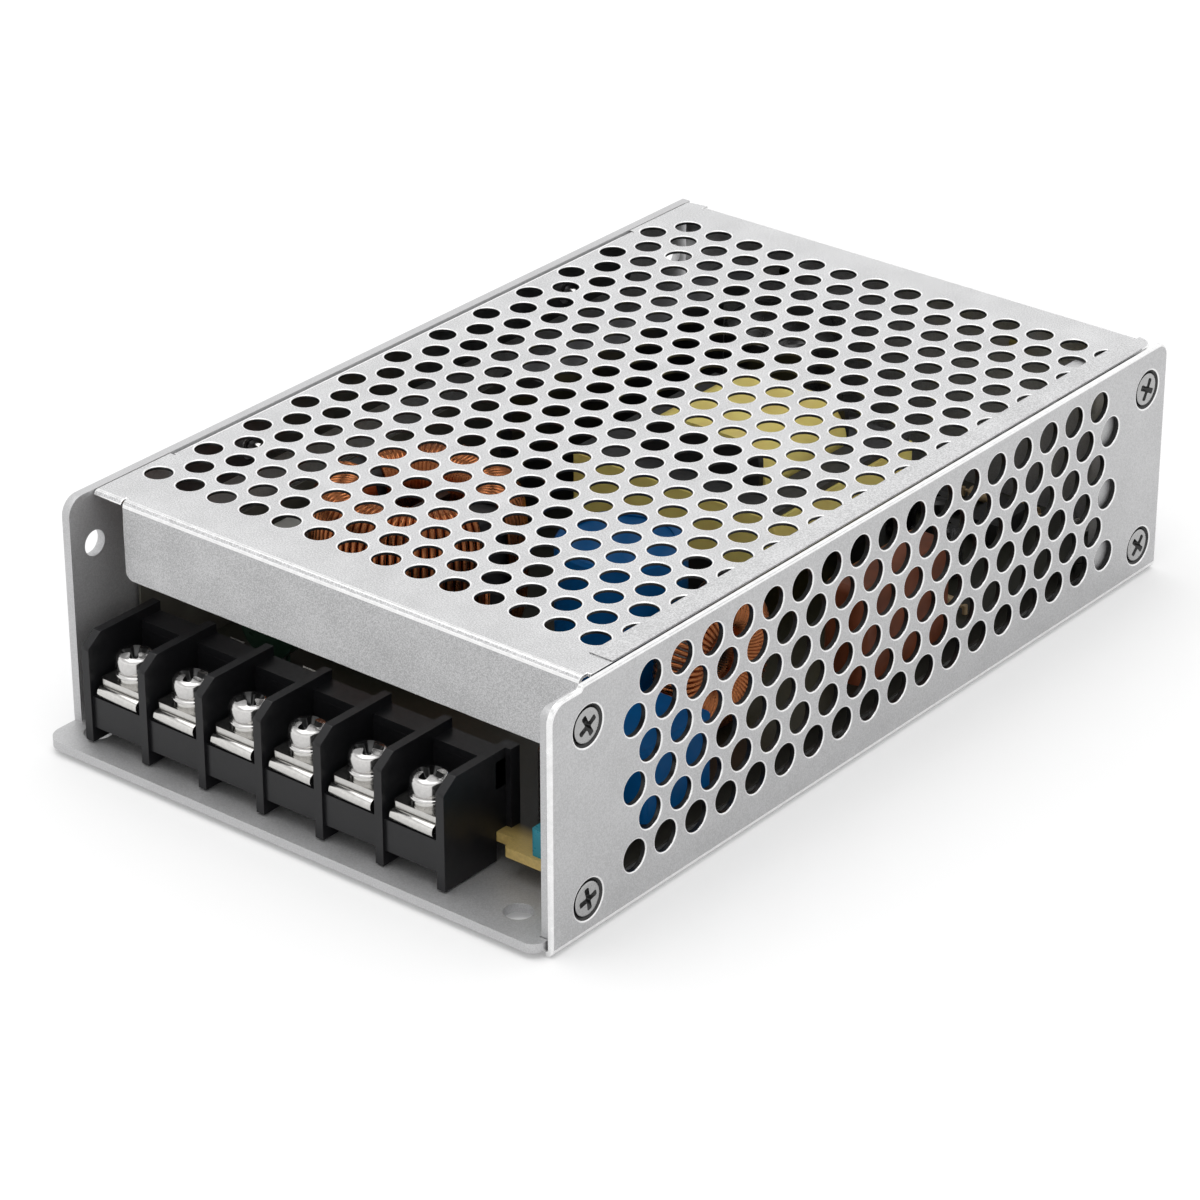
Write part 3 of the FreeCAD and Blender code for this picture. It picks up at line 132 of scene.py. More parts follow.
def sheet_metal(name, colour, roughness, grain, spread, metallic=1.0):
    """Zinc coated sheet: a fine mottled grain over faint cloudy patches."""
    material, tree, shader = new_material(name)
    fine = noise(tree, COAT_GRAIN, 2.0, None, 0.6)
    cloud = noise(tree, COAT_CLOUDS, 5.0, None, 0.6)
    tone = add(tree, "ShaderNodeMath", {1: CLOUD_SHARE}, operation="MULTIPLY_ADD")
    tree.links.new(cloud, tone.inputs[0])
    lifted = add(tree, "ShaderNodeMath", {1: 1 - CLOUD_SHARE}, operation="MULTIPLY")
    tree.links.new(fine, lifted.inputs[0])
    tree.links.new(lifted.outputs["Value"], tone.inputs[2])
    dark, light = shades(colour, spread, spread)
    tree.links.new(ramp(tree, tone.outputs["Value"], [(0.40, dark), (0.60, light)]),
                   shader.inputs["Base Color"])
    tree.links.new(ramp(tree, fine, [(0.35, roughness - ROUGHNESS_SWING),
                                     (0.65, roughness + ROUGHNESS_SWING)]),
                   shader.inputs["Roughness"])
    shader.inputs["Metallic"].default_value = metallic
    bump(tree, shader, fine, grain)
    return material


def metal(name, colour, roughness, scale=1800.0, height=0.000002):
    """Plain metal with a fine grain in its colour, its roughness and its surface."""
    material, tree, shader = new_material(name)
    grain = noise(tree, scale)
    dark, _ = shades(colour, 0.12)
    tree.links.new(ramp(tree, grain, [(0.3, dark), (0.7, colour)]), shader.inputs["Base Color"])
    tree.links.new(ramp(tree, grain, [(0.3, roughness * 0.8), (0.7, roughness * 1.25)]),
                   shader.inputs["Roughness"])
    shader.inputs["Metallic"].default_value = 1.0
    bump(tree, shader, grain, height)
    return material


def plastic(name, colour, roughness, scale=1500.0, height=0.000004, spread=0.15, coat=0.0,
            specular=0.5):
    """Moulded, dipped or painted stuff: a fine grain, and a colour that spreads in clouds."""
    material, tree, shader = new_material(name)
    grain = noise(tree, scale)
    cloud = noise(tree, 180.0)
    dark, light = shades(colour, spread, spread)
    tree.links.new(ramp(tree, cloud, [(0.3, dark), (0.7, light)]), shader.inputs["Base Color"])
    tree.links.new(ramp(tree, grain, [(0.3, roughness * 0.85), (0.7, roughness * 1.15)]),
                   shader.inputs["Roughness"])
    shader.inputs["Coat Weight"].default_value = coat
    shader.inputs["Specular IOR Level"].default_value = specular
    bump(tree, shader, grain, height)
    return material


def laminate(name, bare, painted_shade_colour, edge_y, blur=0.0015):
    """Circuit board: bare yellow laminate at the front edge, and a dark painted shade behind it,
    where the case shades the board.
    """
    material, tree, shader = new_material(name)
    place = add(tree, "ShaderNodeTexCoord")
    split = add(tree, "ShaderNodeSeparateXYZ")
    tree.links.new(place.outputs["Object"], split.inputs["Vector"])
    past = add(tree, "ShaderNodeMapRange",
               {"From Min": edge_y - blur, "From Max": edge_y + blur})
    tree.links.new(split.outputs["Y"], past.inputs["Value"])
    fibre = noise(tree, 1800.0, 3.0, (1.0, 6.0, 1.0))
    tint = ramp(tree, past.outputs["Result"], [(0.0, bare), (1.0, painted_shade_colour)])
    shade = add(tree, "ShaderNodeMix", {"Factor": 1.0}, data_type="RGBA", blend_type="MULTIPLY")
    tree.links.new(tint, shade.inputs["A"])
    tree.links.new(ramp(tree, fibre, [(0.3, 0.75), (0.7, 1.0)]), shade.inputs["B"])
    tree.links.new(shade.outputs["Result"], shader.inputs["Base Color"])
    tree.links.new(ramp(tree, fibre, [(0.3, 0.35), (0.7, 0.5)]), shader.inputs["Roughness"])
    bump(tree, shader, fibre, 0.000006)
    return material


def glass(name):
    """Clear glass with faint streaks in its gloss."""
    material, tree, shader = new_material(name)
    streak = noise(tree, 400.0, 2.0)
    tree.links.new(ramp(tree, streak, [(0.3, 0.02), (0.7, 0.06)]), shader.inputs["Roughness"])
    shader.inputs["Base Color"].default_value = (0.9, 0.94, 0.94, 1)
    shader.inputs["Transmission Weight"].default_value = 1.0
    return material


looks = {
    "case_sheet": sheet_metal("case_sheet", (0.50, 0.50, 0.505), 0.36, 0.000006, 0.12),
    "cover_sheet": sheet_metal("cover_sheet", (0.58, 0.58, 0.585), 0.34, 0.000014, 0.22),
    # Painted shade: the cover's sheet a shade darker, for the outer face of its apron.
    "apron_painted_shade": sheet_metal("apron_painted_shade", (0.46, 0.46, 0.465), 0.34, 0.000014, 0.22),
    "chassis_sheet": sheet_metal("chassis_sheet", (0.50, 0.50, 0.505), 0.5, 0.000004, 0.10,
                                 metallic=0.7),
    # Painted highlight: a near white metal for the rounds of rims, bends and edges.
    "edge_painted_highlight": metal("edge_painted_highlight", (0.88, 0.88, 0.88), 0.22, 900.0, 0.000001),
    # Painted shade: near black for the faces of the screws' cross recesses.
    "recess": metal("recess", (0.05, 0.05, 0.05), 0.35, 900.0, 0.000001),
    # Painted shade: near black for the walls of holes and the cones of countersinks.
    "wall_painted_shade": metal("wall_painted_shade", (0.06, 0.06, 0.06), 0.45, 900.0, 0.000001),
    # Painted shade: a dark grey for the sheets' inner faces, inside the case.
    "inner_face_painted_shade": metal("inner_face_painted_shade", (0.16, 0.16, 0.165), 0.5, 900.0, 0.000001),
    "bright_screw": metal("bright_screw", (0.62, 0.61, 0.60), 0.16),
    "screw_face": metal("screw_face", (0.42, 0.42, 0.42), 0.28),
    "tinned_metal": metal("tinned_metal", (0.62, 0.61, 0.59), 0.2),
    "black_plastic": plastic("black_plastic", (0.007, 0.007, 0.008), 0.34, specular=0.32),
    # Painted highlight: a lighter black for the rounded edges of the terminal block.
    "black_edge_painted_highlight": plastic("black_edge_painted_highlight", (0.035, 0.035, 0.037), 0.25),
    # Painted shade: the board is dark behind its bare front edge, in the shade of the case.
    "board": laminate("board", (0.50, 0.36, 0.12), (0.018, 0.018, 0.012), -0.0615),
    "film": plastic("film", (0.10, 0.095, 0.08), 0.4),
    "core_paint": plastic("core_paint", (0.62, 0.60, 0.55), 0.45),
    "ferrite": plastic("ferrite", (0.03, 0.03, 0.031), 0.6, 900.0, 0.00001),
    "bobbin_plastic": plastic("bobbin_plastic", (0.012, 0.012, 0.012), 0.45),
    "yellow_tape": plastic("yellow_tape", (1.0, 0.78, 0.23), 0.35, 300.0, 0.00004, 0.1,
                           specular=0.3),
    "copper_wire": metal("copper_wire", (0.50, 0.18, 0.07), 0.3, 900.0),
    "blue_sleeve": plastic("blue_sleeve", (0.001, 0.085, 0.26), 0.4, 200.0, spread=0.1,
                           specular=0.12),
    "black_sleeve": plastic("black_sleeve", (0.010, 0.010, 0.010), 0.28, 200.0, spread=0.1,
                            coat=0.3),
    "brown_dip": plastic("brown_dip", (0.17, 0.05, 0.022), 0.35, 250.0, 0.00003, 0.3,
                         specular=0.15),
    "white_box": plastic("white_box", (0.5, 0.5, 0.47), 0.4),
    "green_dip": plastic("green_dip", (0.02, 0.05, 0.03), 0.3, 250.0, 0.00003, 0.2, coat=0.3),
    "fuse_glass": glass("fuse_glass"),
    "black_moulding": plastic("black_moulding", (0.015, 0.015, 0.016), 0.5),
    "sink_aluminium": metal("sink_aluminium", (0.12, 0.12, 0.125), 0.45),
    "teal_plastic": plastic("teal_plastic", (0.01, 0.20, 0.26), 0.3),
    "white_rotor": plastic("white_rotor", (0.6, 0.6, 0.55), 0.35),
    "resistor_body": plastic("resistor_body", (0.35, 0.25, 0.14), 0.4, 600.0, 0.00002, 0.3),
}


def dress(obj, *finish):
    """Gives an object these looks, one to each material slot."""
    obj.data.materials.clear()
    for look in finish:
        obj.data.materials.append(looks[look])


for part in frame["record"]["subparts"]:
    dress(nodes[part["node"]], part["material_slot"])
dress(nodes["chassis"], "chassis_sheet", "edge_painted_highlight")
dress(nodes["output_choke_core"], "core_paint")


# Folded sheets

# How finely bends and rims are divided, how far a coined collar leans, the round at the mouth
# of a countersink, half of the share of a bend that stays plain, and the distances at which
# places touch or are the same
FOLD_STEPS = 6
RIM_STEPS = 3
QUARTER_TURN = math.pi / 2
COIN_LEAN = math.radians(14.0)
MOUTH_RIM = 0.35 * MM
PLAIN_BEND = 0.17
TOUCH = 1e-6
SAME = 1e-7

# Finishes of a sheet's faces, in the order of its material slots: plain, painted highlight,
# painted shade on walls, painted shade on the inner face, painted shade on the apron
PLAIN, PAINTED_HIGHLIGHT, SHADED_WALL, SHADED_INNER, SHADED_APRON = 0, 1, 2, 3, 4


class Sheet:
    """A folded sheet. Its flat outline is given in U and V on its outer face; U, V and the
    outer normal are axes of the frame, and flaps turn away from the outer normal. Its edges
    are rounded by rim outside and inner_rim inside. Its inner face has a painted shade but for
    a margin with the outer finish, and what lies below apron_end in V is its apron, whose
    outer face has a darker painted shade."""

    def __init__(self, origin, along_u, along_v, thickness, rim, inner_rim, margin=0.0):
        self.origin = Vector(origin)
        self.u = Vector(along_u)
        self.v = Vector(along_v)
        self.normal = self.u.cross(self.v)
        self.thickness = thickness
        self.rim = rim
        self.inner_rim = inner_rim
        self.margin = margin
        self.apron_end = None
        self.folds = []
        self.outline = []
        self.holes = []
        self.creases = []

    def fold(self, axis, sign, start, radius, low, high):
        """Points past start turn round a quarter of this outer radius, between low and high."""
        self.folds.append((axis, sign, start, radius, low - TOUCH, high + TOUCH))

    def face_finish(self, point):
        """A bend has a painted highlight along both its edges, and is plain along its middle.
        The rest is plain too, or has the apron's painted shade."""
        for axis, sign, start, radius, low, high in self.folds:
            part = sign * (point[axis] - start) / (radius * QUARTER_TURN)
            if 0 < part < 1 and low <= point[1 - axis] <= high:
                return PAINTED_HIGHLIGHT if abs(part - 0.5) > PLAIN_BEND else PLAIN
        # The apron's outer face has a painted shade.
        if self.apron_end is not None and point.y < self.apron_end:
            return SHADED_APRON
        return PLAIN

    def frame_at(self, u, v):
        """The place on the outer face, and the directions of U, V and the normal there."""
        u_dir, v_dir, normal = self.u, self.v, self.normal
        for axis, sign, start, radius, low, high in self.folds:
            value, across = (u, v) if axis == 0 else (v, u)
            past = sign * (value - start)
            if past <= 0 or not low <= across <= high:
                continue
            angle = min(past / radius, QUARTER_TURN)
            away = (self.u if axis == 0 else self.v) * sign
            base_u = start if axis == 0 else u
            base_v = start if axis == 1 else v
            base = self.origin + self.u * base_u + self.v * base_v
            turned = away * math.cos(angle) - normal * math.sin(angle)
            place = base + away * (radius * math.sin(angle)) \
                - normal * (radius * (1 - math.cos(angle))) \
                + turned * (past - radius * angle)
            normal = normal * math.cos(angle) + away * math.sin(angle)
            if axis == 0:
                u_dir = turned * sign
            else:
                v_dir = turned * sign
            return place, u_dir, v_dir, normal
        return self.origin + self.u * u + self.v * v, u_dir, v_dir, normal


def rounded(corners, steps=6):
    """A closed outline from (u, v, radius) corners."""
    points = []
    count = len(corners)
    for i, (u, v, radius) in enumerate(corners):
        here = Vector((u, v))
        if radius == 0:
            points.append(here)
            continue
        before = (Vector(corners[i - 1][:2]) - here).normalized()
        after = (Vector(corners[(i + 1) % count][:2]) - here).normalized()
        half = before.angle(after) / 2
        reach = radius / math.tan(half)
        middle = here + (before + after).normalized() * (radius / math.sin(half))
        start = here + before * reach - middle
        end = here + after * reach - middle
        turn = start.angle_signed(end)
        for k in range(steps + 1):
            a = -turn * k / steps
            spun = Vector((start.x * math.cos(a) - start.y * math.sin(a),
                           start.x * math.sin(a) + start.y * math.cos(a)))
            points.append(middle + spun)
    clean = []
    for point in points:
        if not clean or (point - clean[-1]).length > SAME:
            clean.append(point)
    if (clean[0] - clean[-1]).length < SAME:
        clean.pop()
    return clean


def circle(u, v, radius, sides):
    """A hole's loop, clockwise, so that the sheet lies on its left."""
    return [Vector((u + radius * math.cos(-2 * math.pi * k / sides),
                    v + radius * math.sin(-2 * math.pi * k / sides))) for k in range(sides)]


def within(point, loop):
    """Whether a point lies inside a closed loop."""
    hit = False
    for i in range(len(loop)):
        a, b = loop[i - 1], loop[i]
        if (a.y > point.y) != (b.y > point.y):
            if point.x < a.x + (point.y - a.y) * (b.x - a.x) / (b.y - a.y):
                hit = not hit
    return hit


def centre_of(points, ids):
    """The middle of a triangle of these points."""
    return (points[ids[0]] + points[ids[1]] + points[ids[2]]) / 3


def closed(first, count):
    """The edges of a closed loop of points, numbered from first on."""
    return [(first + i, first + (i + 1) % count) for i in range(count)]


def inward(loop):
    """At each point of a loop, the mitred step into the sheet on its left. A sharp corner's
    step is limited."""
    steps = []
    count = len(loop)
    for i in range(count):
        a = (loop[i] - loop[i - 1]).normalized()
        b = (loop[(i + 1) % count] - loop[i]).normalized()
        na = Vector((-a.y, a.x))
        nb = Vector((-b.y, b.x))
        steps.append((na + nb) / max(0.3, 1 + na.dot(nb)))
    return steps


def plain_profile(sheet, rim, coin=0.0, margin=0.0):
    """Rings of an edge: step into the sheet, depth, lean of the normal and finish. A coined
    rim has a shallow collar of this width before its round, both with a painted highlight,
    and a wall with a painted shade; an edge that is not coined has the painted highlight on
    its wall too. A margin of the inner face has the finish of the outer one."""
    rings = []
    wall = SHADED_WALL if coin else PAINTED_HIGHLIGHT
    lean = COIN_LEAN if coin else 0.0
    sink = coin * math.tan(COIN_LEAN)
    if coin:
        rings.append((rim + coin, 0.0, 0.0, PAINTED_HIGHLIGHT))
        rings.append((rim + coin * 0.8, sink * 0.15, lean, PAINTED_HIGHLIGHT))
    for k in range(RIM_STEPS + 1):
        a = lean + (QUARTER_TURN - lean) * k / RIM_STEPS
        rings.append((rim * (1 - math.sin(a)), sink + rim * (math.cos(lean) - math.cos(a)),
                      a, PAINTED_HIGHLIGHT if k < RIM_STEPS else wall))
    for k in range(RIM_STEPS + 1):
        a = QUARTER_TURN * (1 + k / RIM_STEPS)
        rings.append((sheet.inner_rim * (1 - math.sin(a)),
                      sheet.thickness - sheet.inner_rim * (1 + math.cos(a)), a, wall))
    if margin:
        rings[-1] = rings[-1][:3] + (PLAIN,)
        rings.append((margin, sheet.thickness, math.pi, SHADED_INNER))
    return rings


def sunk_profile(sheet, width):
    """Rings of a countersunk hole whose cone narrows by as much as it is deep."""
    # The round of the mouth has a painted highlight, and the cone a painted shade.
    rings = []
    for k in range(RIM_STEPS + 1):
        a = math.pi / 4 * k / RIM_STEPS
        rings.append((MOUTH_RIM * (1 - math.sin(a)), MOUTH_RIM * (1 - math.cos(a)), a,
                      PAINTED_HIGHLIGHT if k < RIM_STEPS else SHADED_WALL))
    deep = min(width, sheet.thickness)
    rings.append((-deep * 0.9, deep * 0.9, math.pi / 4, SHADED_WALL))
    rings.append((-deep, sheet.thickness, math.pi * 0.75, SHADED_WALL))
    return rings


def triangulate(name, flat, edges):
    """Triangles between points in a plane, with these edges kept, by the points' numbers."""
    points, _, faces, origins, _, _ = geometry.delaunay_2d_cdt(flat, edges, [], 0, 1e-9)
    if len(points) != len(flat):
        raise RuntimeError("%s: its loops cross or touch" % name)
    source = [numbers[0] for numbers in origins]
    return [[source[i] for i in face] for face in faces]


def build_sheet(name, sheet, outer_look, extra=None):
    """The mesh of a folded sheet, both faces triangulated, its edges and rims rounded. What
    extra adds has the finish of the outer face."""
    loops = [(sheet.outline, plain_profile(sheet, sheet.rim, 0.0, sheet.margin))] + sheet.holes
    flat = []
    edges = []
    starts = []
    owner = []
    for index, (loop, profile) in enumerate(loops):
        starts.append(len(flat))
        owner += [index] * len(loop)
        edges += closed(len(flat), len(loop))
        flat += [point + step * profile[0][0] for point, step in zip(loop, inward(loop))]
    border = flat[:len(sheet.outline)]

    def solid(ids):
        """Whether a triangle lies on the sheet, and not in a hole or outside the outline."""
        owners = {owner[i] for i in ids}
        return len(owners) > 1 or owners == {0} and within(centre_of(flat, ids), border)

    kept = [ids for ids in triangulate(name, flat, edges + sheet.creases) if solid(ids)]
    vertices = []
    normals = []
    polygons = []
    finishes = []

    def put(point, step, depth, lean):
        """Adds a vertex at this depth under the outer face, with its normal."""
        place, u_dir, v_dir, normal = sheet.frame_at(point.x, point.y)
        vertices.append(place - normal * depth)
        out = step.normalized() * -1
        lean_dir = u_dir * out.x + v_dir * out.y
        normals.append((normal * math.cos(lean) + lean_dir * math.sin(lean)).normalized())
        return len(vertices) - 1

    outer = {}
    inner = {}
    for (loop, profile), first in zip(loops, starts):
        steps = inward(loop)
        rings = []
        for inset, depth, lean, _ in profile:
            rings.append([put(point + step * inset, step, depth, lean)
                          for point, step in zip(loop, steps)])
        count = len(loop)
        for i in range(count):
            outer[first + i] = rings[0][i]
            inner[first + i] = rings[-1][i]
        for a, b, (_, _, _, finish) in zip(rings, rings[1:], profile):
            for i in range(count):
                j = (i + 1) % count
                polygons.append((a[i], b[i], b[j], a[j]))
                finishes.append(finish)
    # Each triangle's outer face is plain, painted highlight or painted apron shade; its inner
    # face has a painted shade.
    for ids in kept:
        polygons.append([outer[i] for i in ids])
        polygons.append([inner[i] for i in reversed(ids)])
        finishes += [sheet.face_finish(centre_of(flat, ids)), SHADED_INNER]
    if extra:
        extra(vertices, normals, polygons)
        finishes += [PLAIN] * (len(polygons) - len(finishes))
    return make_mesh(name, vertices, polygons,
                     [outer_look, "edge_painted_highlight", "wall_painted_shade", "inner_face_painted_shade", "apron_painted_shade"],
                     normals, finishes)


def make_mesh(name, vertices, polygons, finish, normals=None, finishes=None):
    """A smooth mesh object in one or more finishes, with its normals if they are given."""
    mesh = bpy.data.meshes.new(name)
    mesh.from_pydata([tuple(v) for v in vertices], [], [tuple(p) for p in polygons])
    mesh.polygons.foreach_set("use_smooth", [True] * len(mesh.polygons))
    if normals:
        mesh.normals_split_custom_set_from_vertices([tuple(n) for n in normals])
    obj = new_object(name, mesh)
    dress(obj, *finish)
    if finishes:
        mesh.polygons.foreach_set("material_index", finishes)
    return obj


def stand_for(obj, node, body="case"):
    """The piece takes the place of a CAD node and moves with a body."""
    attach(obj, body)
    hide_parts(node)


def side_points(fold_start, radius, sign):
    """Values of U or V where a fold is divided, from its start outwards."""
    return [fold_start + sign * radius * QUARTER_TURN * k / FOLD_STEPS
            for k in range(FOLD_STEPS + 1)]


def crease_pairs(sheet, axis, values, low, high):
    """Edges across a flap, between the outline's points at each of these values."""
    pairs = []
    for value in values:
        ids = [i for i, point in enumerate(sheet.outline)
               if abs(point[axis] - value) < SAME
               and low - TOUCH <= point[1 - axis] <= high + TOUCH]
        ids.sort(key=lambda i: sheet.outline[i][1 - axis])
        if len(ids) >= 2:
            pairs.append((ids[0], ids[-1]))
    return pairs


def staggered(first_u, last_u, pitch, first_v, last_v, row_pitch):
    """Centres of rows set over by half a pitch, row by row."""
    places = []
    rows = int(math.floor((last_v - first_v) / row_pitch + TOUCH)) + 1
    for row in range(rows):
        start = first_u + (pitch / 2 if row % 2 else 0)
        for i in range(int(math.floor((last_u - start) / pitch + TOUCH)) + 1):
            places.append((start + i * pitch, first_v + row * row_pitch))
    return places


# Sizes that the CAD source states, in metres
X_LEFT, X_RIGHT = -0.049, 0.049
Y_FRONT, Y_BACK = -0.0785, 0.0785
HEIGHT = 0.040
SHEET = 1.5 * MM
PANEL_SHEET = 1.0 * MM
COVER_SHEET = 0.6 * MM
SHEET_GAP = 0.15 * MM
BEND = 0.4 * MM
SLIT = 0.3 * MM
FLAP_CORNER = 1.5 * MM
SUNK_DEPTH = 1.5 * MM
SCREW_MOUTH = 3.15 * MM
SCREW_HOLE = 2.2 * MM

# The cover
COVER_LEFT = X_LEFT + SHEET + SHEET_GAP
COVER_RIGHT = X_RIGHT - PANEL_SHEET - 0.6 * MM
COVER_FRONT = Y_FRONT + 11.5 * MM
COVER_BACK = Y_BACK - 0.3 * MM
SEAM_RIGHT = COVER_RIGHT - 0.5 * MM
LIP_RADIUS = 0.95 * MM
LIP_DEPTH = 9 * MM
LIP_INSET = 17 * MM
LIP_FRONT, LIP_BACK = COVER_FRONT + LIP_INSET, COVER_BACK - LIP_INSET
REAR_DEPTH = 10 * MM
REAR_INSET = 4 * MM
REAR_LEFT, REAR_RIGHT = COVER_LEFT + REAR_INSET, COVER_RIGHT - REAR_INSET
APRON_DEPTH = 13 * MM
APRON_LEFT = COVER_LEFT + 6 * MM
APRON_RIGHT = X_RIGHT - PANEL_SHEET - SHEET_GAP - SHEET - SHEET_GAP
COVER_HOLE = 2.2 * MM
COVER_PITCH, COVER_ROW_PITCH = 6.5 * MM, 5.45 * MM

# The side panel
PANEL_FRONT = Y_FRONT + 2 * MM
PANEL_TOP = HEIGHT + 0.7 * MM
PANEL_MARGIN = 2 * MM
FLANGE_STEP = 10 * MM
FLANGE_WIDTH = X_RIGHT - X_LEFT - 14 * MM
FLANGE_FRONT = PANEL_FRONT + FLANGE_STEP
FLANGE_HOLE = 2.25 * MM
PANEL_HOLE = 2.5 * MM
PANEL_PITCH, PANEL_ROW_PITCH = 7.1 * MM, 5.48 * MM
PANEL_SCREWS = [(y, z) for y in (PANEL_FRONT + 8 * MM, Y_BACK - 5.5 * MM)
                for z in (6.2 * MM, 34 * MM)]


def hem(vertices, normals, polygons):
    """The folded-over strip along the cover's right edge, which covers part of the last
    holes. Its two long edges are rounded."""
    start = COVER_RIGHT - 4.7 * MM
    end = SEAM_RIGHT - 0.02 * MM
    low = HEIGHT - 0.05 * MM
    rise = 0.14 * MM
    steps = 4
    section = []
    for k in reversed(range(steps + 1)):
        a = QUARTER_TURN * k / steps
        section.append((start + rise * (1 - math.sin(a)) * 1.6, HEIGHT + rise * math.cos(a),
                        -math.sin(a), math.cos(a)))
    far_side = [(end - (x - start), z, -nx, nz) for x, z, nx, nz in reversed(section)]
    ring = [(start, low, -1, 0)] + section + far_side + [(end, low, 1, 0)]
    first = len(vertices)
    for y in (COVER_FRONT + 6.5 * MM, COVER_BACK - REAR_INSET):
        for x, z, nx, nz in ring:
            vertices.append(Vector((x, y, z)))
            normals.append(Vector((nx, 0, nz)).normalized())
    size = len(ring)
    for i in range(size - 1):
        polygons.append((first + i, first + i + 1, first + size + i + 1, first + size + i))
    polygons.append([first + i for i in reversed(range(size))])
    polygons.append([first + size + i for i in range(size)])


def cover_outline(front, back, left, apron_end, rear_end, lip_end):
    """The corners of the flat cover, and the values at which its folds are divided."""
    radius = BEND + COVER_SHEET
    front_values = side_points(front, radius, -1)
    back_values = side_points(back, radius, 1)
    left_values = side_points(left, LIP_RADIUS, -1)
    ear_values = front_values[:-1]
    corners = [(COVER_LEFT, v, 0) for v in ear_values]
    corners += [(APRON_LEFT - SLIT, v, 0) for v in reversed(ear_values)]
    corners += [(APRON_LEFT - SLIT, front + SLIT, 0), (APRON_LEFT, front + SLIT, 0)]
    corners += [(APRON_LEFT, v, 0) for v in front_values]
    corners += [(APRON_LEFT, apron_end, FLAP_CORNER), (APRON_RIGHT, apron_end, FLAP_CORNER)]
    corners += [(APRON_RIGHT, v, 0) for v in reversed(front_values)]
    corners += [(APRON_RIGHT, front + 0.8 * MM, 0), (SEAM_RIGHT, front + 0.8 * MM, 0.3 * MM),
                (SEAM_RIGHT, COVER_BACK, 3 * MM), (REAR_RIGHT + SLIT, COVER_BACK, 0),
                (REAR_RIGHT + SLIT, back - SLIT, 0), (REAR_RIGHT, back - SLIT, 0)]
    corners += [(REAR_RIGHT, v, 0) for v in back_values]
    corners += [(REAR_RIGHT, rear_end, FLAP_CORNER), (REAR_LEFT, rear_end, FLAP_CORNER)]
    corners += [(REAR_LEFT, v, 0) for v in reversed(back_values)]
    corners += [(REAR_LEFT, back - SLIT, 0), (REAR_LEFT - SLIT, back - SLIT, 0),
                (REAR_LEFT - SLIT, COVER_BACK, 0), (COVER_LEFT, COVER_BACK - 0.6 * MM, 0.8 * MM),
                (COVER_LEFT, LIP_BACK + SLIT, 0), (left, LIP_BACK + SLIT, 0)]
    corners += [(v, LIP_BACK, 0) for v in left_values]
    corners += [(lip_end, LIP_BACK, FLAP_CORNER), (lip_end, LIP_FRONT, FLAP_CORNER)]
    corners += [(v, LIP_FRONT, 0) for v in reversed(left_values)]
    corners += [(left, LIP_FRONT - SLIT, 0), (COVER_LEFT, LIP_FRONT - SLIT, 0),
                (COVER_LEFT, front + SLIT, 0)]
    return corners, front_values, back_values, left_values


def top_cover():
    """The perforated cover with its apron, its rear flange, its left lip and its hem."""
    radius = BEND + COVER_SHEET
    quarter = radius * QUARTER_TURN
    lip_quarter = LIP_RADIUS * QUARTER_TURN
    front = COVER_FRONT + radius
    back = COVER_BACK - radius
    left = COVER_LEFT + LIP_RADIUS
    apron_end = front - quarter - (APRON_DEPTH - radius)
    rear_end = back + quarter + (REAR_DEPTH - radius)
    lip_end = left - lip_quarter - (LIP_DEPTH - LIP_RADIUS)
    sheet = Sheet((0, 0, HEIGHT), (1, 0, 0), (0, 1, 0), COVER_SHEET, 0.16 * MM, 0.1 * MM)
    sheet.fold(1, -1, front, radius, COVER_LEFT, APRON_RIGHT)
    sheet.fold(1, 1, back, radius, REAR_LEFT, REAR_RIGHT)
    sheet.fold(0, -1, left, LIP_RADIUS, LIP_FRONT, LIP_BACK)
    # Below this, the apron's outer face has a painted shade.
    sheet.apron_end = front - quarter
    corners, front_values, back_values, left_values = cover_outline(
        front, back, left, apron_end, rear_end, lip_end)
    sheet.outline = rounded(corners)
    sheet.creases = crease_pairs(sheet, 1, front_values, APRON_LEFT, APRON_RIGHT)
    sheet.creases += crease_pairs(sheet, 1, front_values[:-2], COVER_LEFT, APRON_LEFT - SLIT)
    sheet.creases += crease_pairs(sheet, 1, back_values, REAR_LEFT, REAR_RIGHT)
    sheet.creases += crease_pairs(sheet, 0, left_values[1:], LIP_FRONT, LIP_BACK)
    profile = plain_profile(sheet, 0.14 * MM, 0.12 * MM)
    for u, v in staggered(COVER_LEFT + 3.45 * MM, COVER_RIGHT - 3.5 * MM, COVER_PITCH,
                          COVER_FRONT + 10.6 * MM, COVER_BACK - 9 * MM, COVER_ROW_PITCH):
        sheet.holes.append((circle(u, v, COVER_HOLE, 28), profile))
    sunk = sunk_profile(sheet, SUNK_DEPTH)
    rear_row = back + quarter + 5.6 * MM - radius
    for x in (COVER_LEFT + 24 * MM, COVER_RIGHT - 24 * MM):
        sheet.holes.append((circle(x, rear_row, SCREW_MOUTH, 32), sunk))
    lip_row = left - lip_quarter - (5.2 * MM - LIP_RADIUS)
    for y in (COVER_FRONT + 34 * MM, COVER_BACK - 34 * MM):
        sheet.holes.append((circle(lip_row, y, SCREW_HOLE, 32), profile))
    cover = build_sheet("cover_sheet_folded", sheet, "cover_sheet", hem)
    stand_for(cover, "top_cover")


